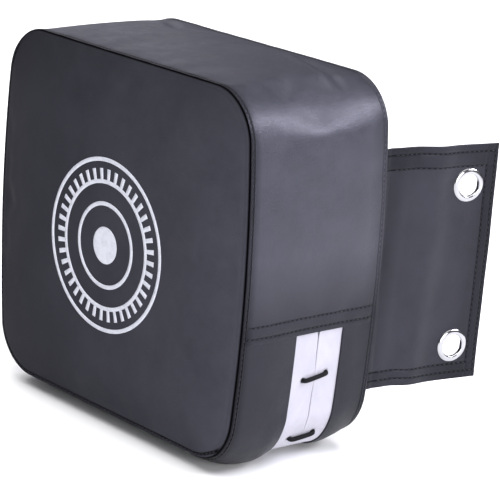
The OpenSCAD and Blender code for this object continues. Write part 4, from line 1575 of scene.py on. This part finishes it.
def make_wing_stitches(side):
    """Both rows of each hem, seen on the front and on the wall side."""
    body = "wing_" + WORDS[side]
    start = 15 * MM
    rows, lines = [], []
    for k in (0, 1):
        top, bottom, end = WING_TOP - TOP_ROWS[k], WING_BOTTOM + BOTTOM_ROWS[k], WING_LEN - END_ROWS[k]
        lines.append(((start, top), (end, top)))
        lines.append(((end, top), (end, bottom)))
        lines.append(((end, bottom), (start, bottom)))
    for (s0, z0), (s1, z1) in lines:
        f = np.linspace(0, 1, 80)
        s, z = s0 + (s1 - s0) * f, z0 + (z1 - z0) * f
        front = 2.6 * MM + wave(s, z) - 0.05 * MM
        rear = wave(s, z) + 0.2 * MM
        for h, sign in ((front, 1), (rear, -1)):
            p = swung(side, s, h, z)
            lift = swung(side, s, h + sign * 1 * MM, z) - p
            rows.append((p, lift / np.linalg.norm(lift, axis=1, keepdims=True)))
    finish_piece(stitches(body + "_stitches", rows, radius=0.45 * MM), THREAD, body)


GROMMET = [                               # (radius, height), in mm
    (12.5, 0.3), (12.5, 1.5), (12.5, 2.8), (12.56, 3.3), (12.8, 3.8), (13.25, 4.16), (13.9, 4.36),
    (14.8, 4.42), (15.9, 4.34), (17.0, 4.08), (17.9, 3.66), (18.6, 3.14), (18.95, 2.7), (18.9, 2.48),
    (18.0, 2.42), (13.45, 2.42), (13.45, 0.5), (14.6, 0.5), (15.5, 0.42), (15.75, 0.2), (15.4, 0.0),
    (14.4, -0.06), (13.3, -0.04), (12.7, 0.06)]
WASHER = [
    (13.5, 0.55), (13.7, 0.42), (16.0, 0.4), (18.4, 0.42), (18.9, 0.6), (19.0, 0.85), (18.8, 1.04),
    (13.5, 1.04)]


def make_eyelets(side):
    """Each chrome eyelet, and the ring that it is set against on the wall side."""
    body = "wing_" + WORDS[side]
    for place, (s, z) in zip(("upper", "lower"), EYELETS):
        centre = swung(side, s, 0.0, z)
        upward = swung(side, s, 0.0, z + 5 * MM) - centre
        out = np.cross(swung(side, s + 5 * MM, 0.0, z) - centre, upward) * side
        out /= np.linalg.norm(out)
        upward /= np.linalg.norm(upward)
        for kind, profile in (("grommet", GROMMET), ("washer", WASHER)):
            grid = lathe(np.array(profile) * MM, centre, out, upward)
            piece = loop_tube(f"{body}_{place}_{kind}_lathe", grid, True)
            finish_piece(piece, CHROME, body, [f"{body}_{place}_{kind}"])


SHEET_ROWS = (8 * MM, 14 * MM)            # from the sheet's edges to the rows that sew it on


def make_back():
    """The back panel, a little swollen clear of the sheet, and the rows that sew the sheet on."""
    near = np.array([0.9, 1.3, 2.0, 3.2, 5.0, 7.5, 11.0]) * MM
    inset = np.concatenate([near, np.arange(15 * MM, HALF, 5 * MM)])
    side = 1 - inset / HALF
    c = np.concatenate([-side, side[::-1]])
    m, t = square_to_round(c[:, None], c[None, :])
    p = outline(t)[0] * m[..., None]
    free = np.maximum(p[..., 1] - WING_TOP, WING_BOTTOM - p[..., 1])
    swell = 1.7 * MM * smooth(free / (30 * MM)) * smooth((1 - m) * HALF / (24 * MM))
    edge = 1.1 * MM * (1 - smooth(((1 - m) * HALF - 0.9 * MM) / (3 * MM)))
    rear = np.stack([p[..., 0], -SHEET - 0.05 * MM + swell - edge, p[..., 1]], -1)
    front = rear.copy()
    front[..., 1] -= WALL
    panel = shell("back_cover", rear, front)
    finish_piece(panel, LEATHER_BACK, nodes=["back_panel"])
    rows = []
    f = np.linspace(0, 1, 120)
    for d in SHEET_ROWS:
        x, low_z, high_z = FOLD_X - d, WING_BOTTOM + d, WING_TOP - d
        corners = [(-x, high_z), (x, high_z), (x, low_z), (-x, low_z)]
        for (xa, za), (xb, zb) in zip(corners, corners[1:] + corners[:1]):
            q = np.stack([xa + (xb - xa) * f, np.full(120, -0.08 * MM), za + (zb - za) * f], 1)
            rows.append((q, np.tile([0.0, 1.0, 0.0], (120, 1))))
    finish_piece(stitches("sheet_stitches", rows, proud=0.1 * MM), THREAD)


# ---- filling, inside ----

def rough(points, size, scale, seed):
    """The same points, each moved a little by smooth noise."""
    flat = points.reshape(-1, 3)
    move = np.array([field.noise_vector(Vector(p / scale) + Vector((seed, 0, 0))) for p in flat])
    return (flat + size * move).reshape(points.shape)


def slab(name, inset, y_front, y_back, edge, lumps=(0.4 * MM, 30 * MM)):
    """A closed block with the pad's outline, rounded edges and a slightly uneven surface."""
    n, rows = 40, 6
    g = np.linspace(-1, 1, n + 1)
    m, t = square_to_round(g[:, None], g[None, :])
    p = outline(t)[0] * (m * (1 - inset / HALF))[..., None]
    near = np.clip(1 - (1 - m) * HALF / edge, 0, 1)
    drop = edge * (1 - np.sqrt(np.maximum(1 - near ** 2, 0)))
    front = np.stack([p[..., 0], y_front + drop, p[..., 1]], -1)
    rear = np.stack([p[..., 0], y_back - drop, p[..., 1]], -1)
    a = np.array([front[c] for c in ring_cells(n)])
    b = np.array([rear[c] for c in ring_cells(n)])
    f = (np.arange(1, rows) / rows)[None, :, None]
    band = a[:, None] * (1 - f) + b[:, None] * f
    verts = np.concatenate([front.reshape(-1, 3), band.reshape(-1, 3), rear.reshape(-1, 3)])
    verts[:, 2] = sagged(verts[:, 2], -verts[:, 1])
    verts = rough(verts, lumps[0], lumps[1], len(name))
    return outward(mesh_object(name, verts, block_index(n, rows)[0]))


FILLING_INSET = 7 * MM                    # from the seam outline to the foam


def make_filling():
    """Foam sheets at the front and back, a foam wrap round the sides, and loose filling in the middle."""
    core_front, core_rear = low("core_stuffing", 1), high("core_stuffing", 1)
    g = np.linspace(-1, 1, 41) * (1 - FILLING_INSET / HALF)
    behind_face = face_point(g[:, None], g[None, :])[..., 1] + 4 * MM
    front = slab("front_foam_sheet", FILLING_INSET, behind_face, core_front - 0.6 * MM, 8 * MM)
    finish_piece(front, FOAM_SHEET, nodes=["front_foam"])
    rear = slab("rear_foam_sheet", FILLING_INSET, core_rear + 0.6 * MM, -BACK - 2.2 * MM, 4 * MM)
    finish_piece(rear, FOAM_SHEET, nodes=["rear_foam"])
    y_front, y_back = core_front + 2.5 * MM, core_rear - 2.5 * MM
    core = slab("loose_filling", 25 * MM, y_front, y_back, 16 * MM, (2.2 * MM, 22 * MM))
    finish_piece(core, FILLING, nodes=["core_stuffing"])
    make_wrap(core_front + 1.2 * MM, core_rear - 1.2 * MM)


def make_wrap(y_front, y_back):
    """The foam round the sides, with a channel behind the slit."""
    t = np.linspace(0, ROUND, 241)[:-1]
    y = np.linspace(y_front, y_back, 30)
    p = outline(t)[0]
    under = smooth((JOINT_Z - p[:, 1]) / (10 * MM))
    channel = 1 - smooth((np.abs(-y - SLIT) - 41 * MM) / (4 * MM))
    outer = FILLING_INSET + (19 * MM - FILLING_INSET) * channel[None, :] * under[:, None]
    inset = np.concatenate([outer, np.full(outer.shape, 23.5 * MM)], 1)
    y, shrink = both(np.concatenate([y, y[::-1]])[None, :], 1 - inset / HALF)
    grid = np.stack([p[:, None, 0] * shrink, y, p[:, None, 1] * shrink], -1)
    grid[..., 2] = sagged(grid[..., 2], -grid[..., 1])
    wrap = loop_tube("side_foam", rough(grid, 0.3 * MM, 25 * MM, 3), True)
    finish_piece(wrap, FOAM_SHEET, nodes=["side_foam_wrap"])


make_camera()
make_light()
make_floor()
simulate_body()
make_face()
make_face_row()
make_bands()
make_welt("face_welt_cover", WELT_EDGE, -1, "face_welt")
make_welt("back_welt_cover", BACK + 0.2 * MM, 1, "back_welt")
make_strip(1)
make_strip(-1)
finish_piece(join("target_rings", make_print()), INK, nodes=["face_print"])
make_tape("front_tape", 1, "closure_tape_front")
make_tape("rear_tape", -1, "closure_tape_rear")
make_underlay()
make_lace()
for wing in (1, -1):
    make_sheet(wing)
    for edge_name in ("top", "bottom", "end"):
        make_hem(wing, edge_name)
    make_wing_stitches(wing)
    make_eyelets(wing)
make_back()
make_filling()
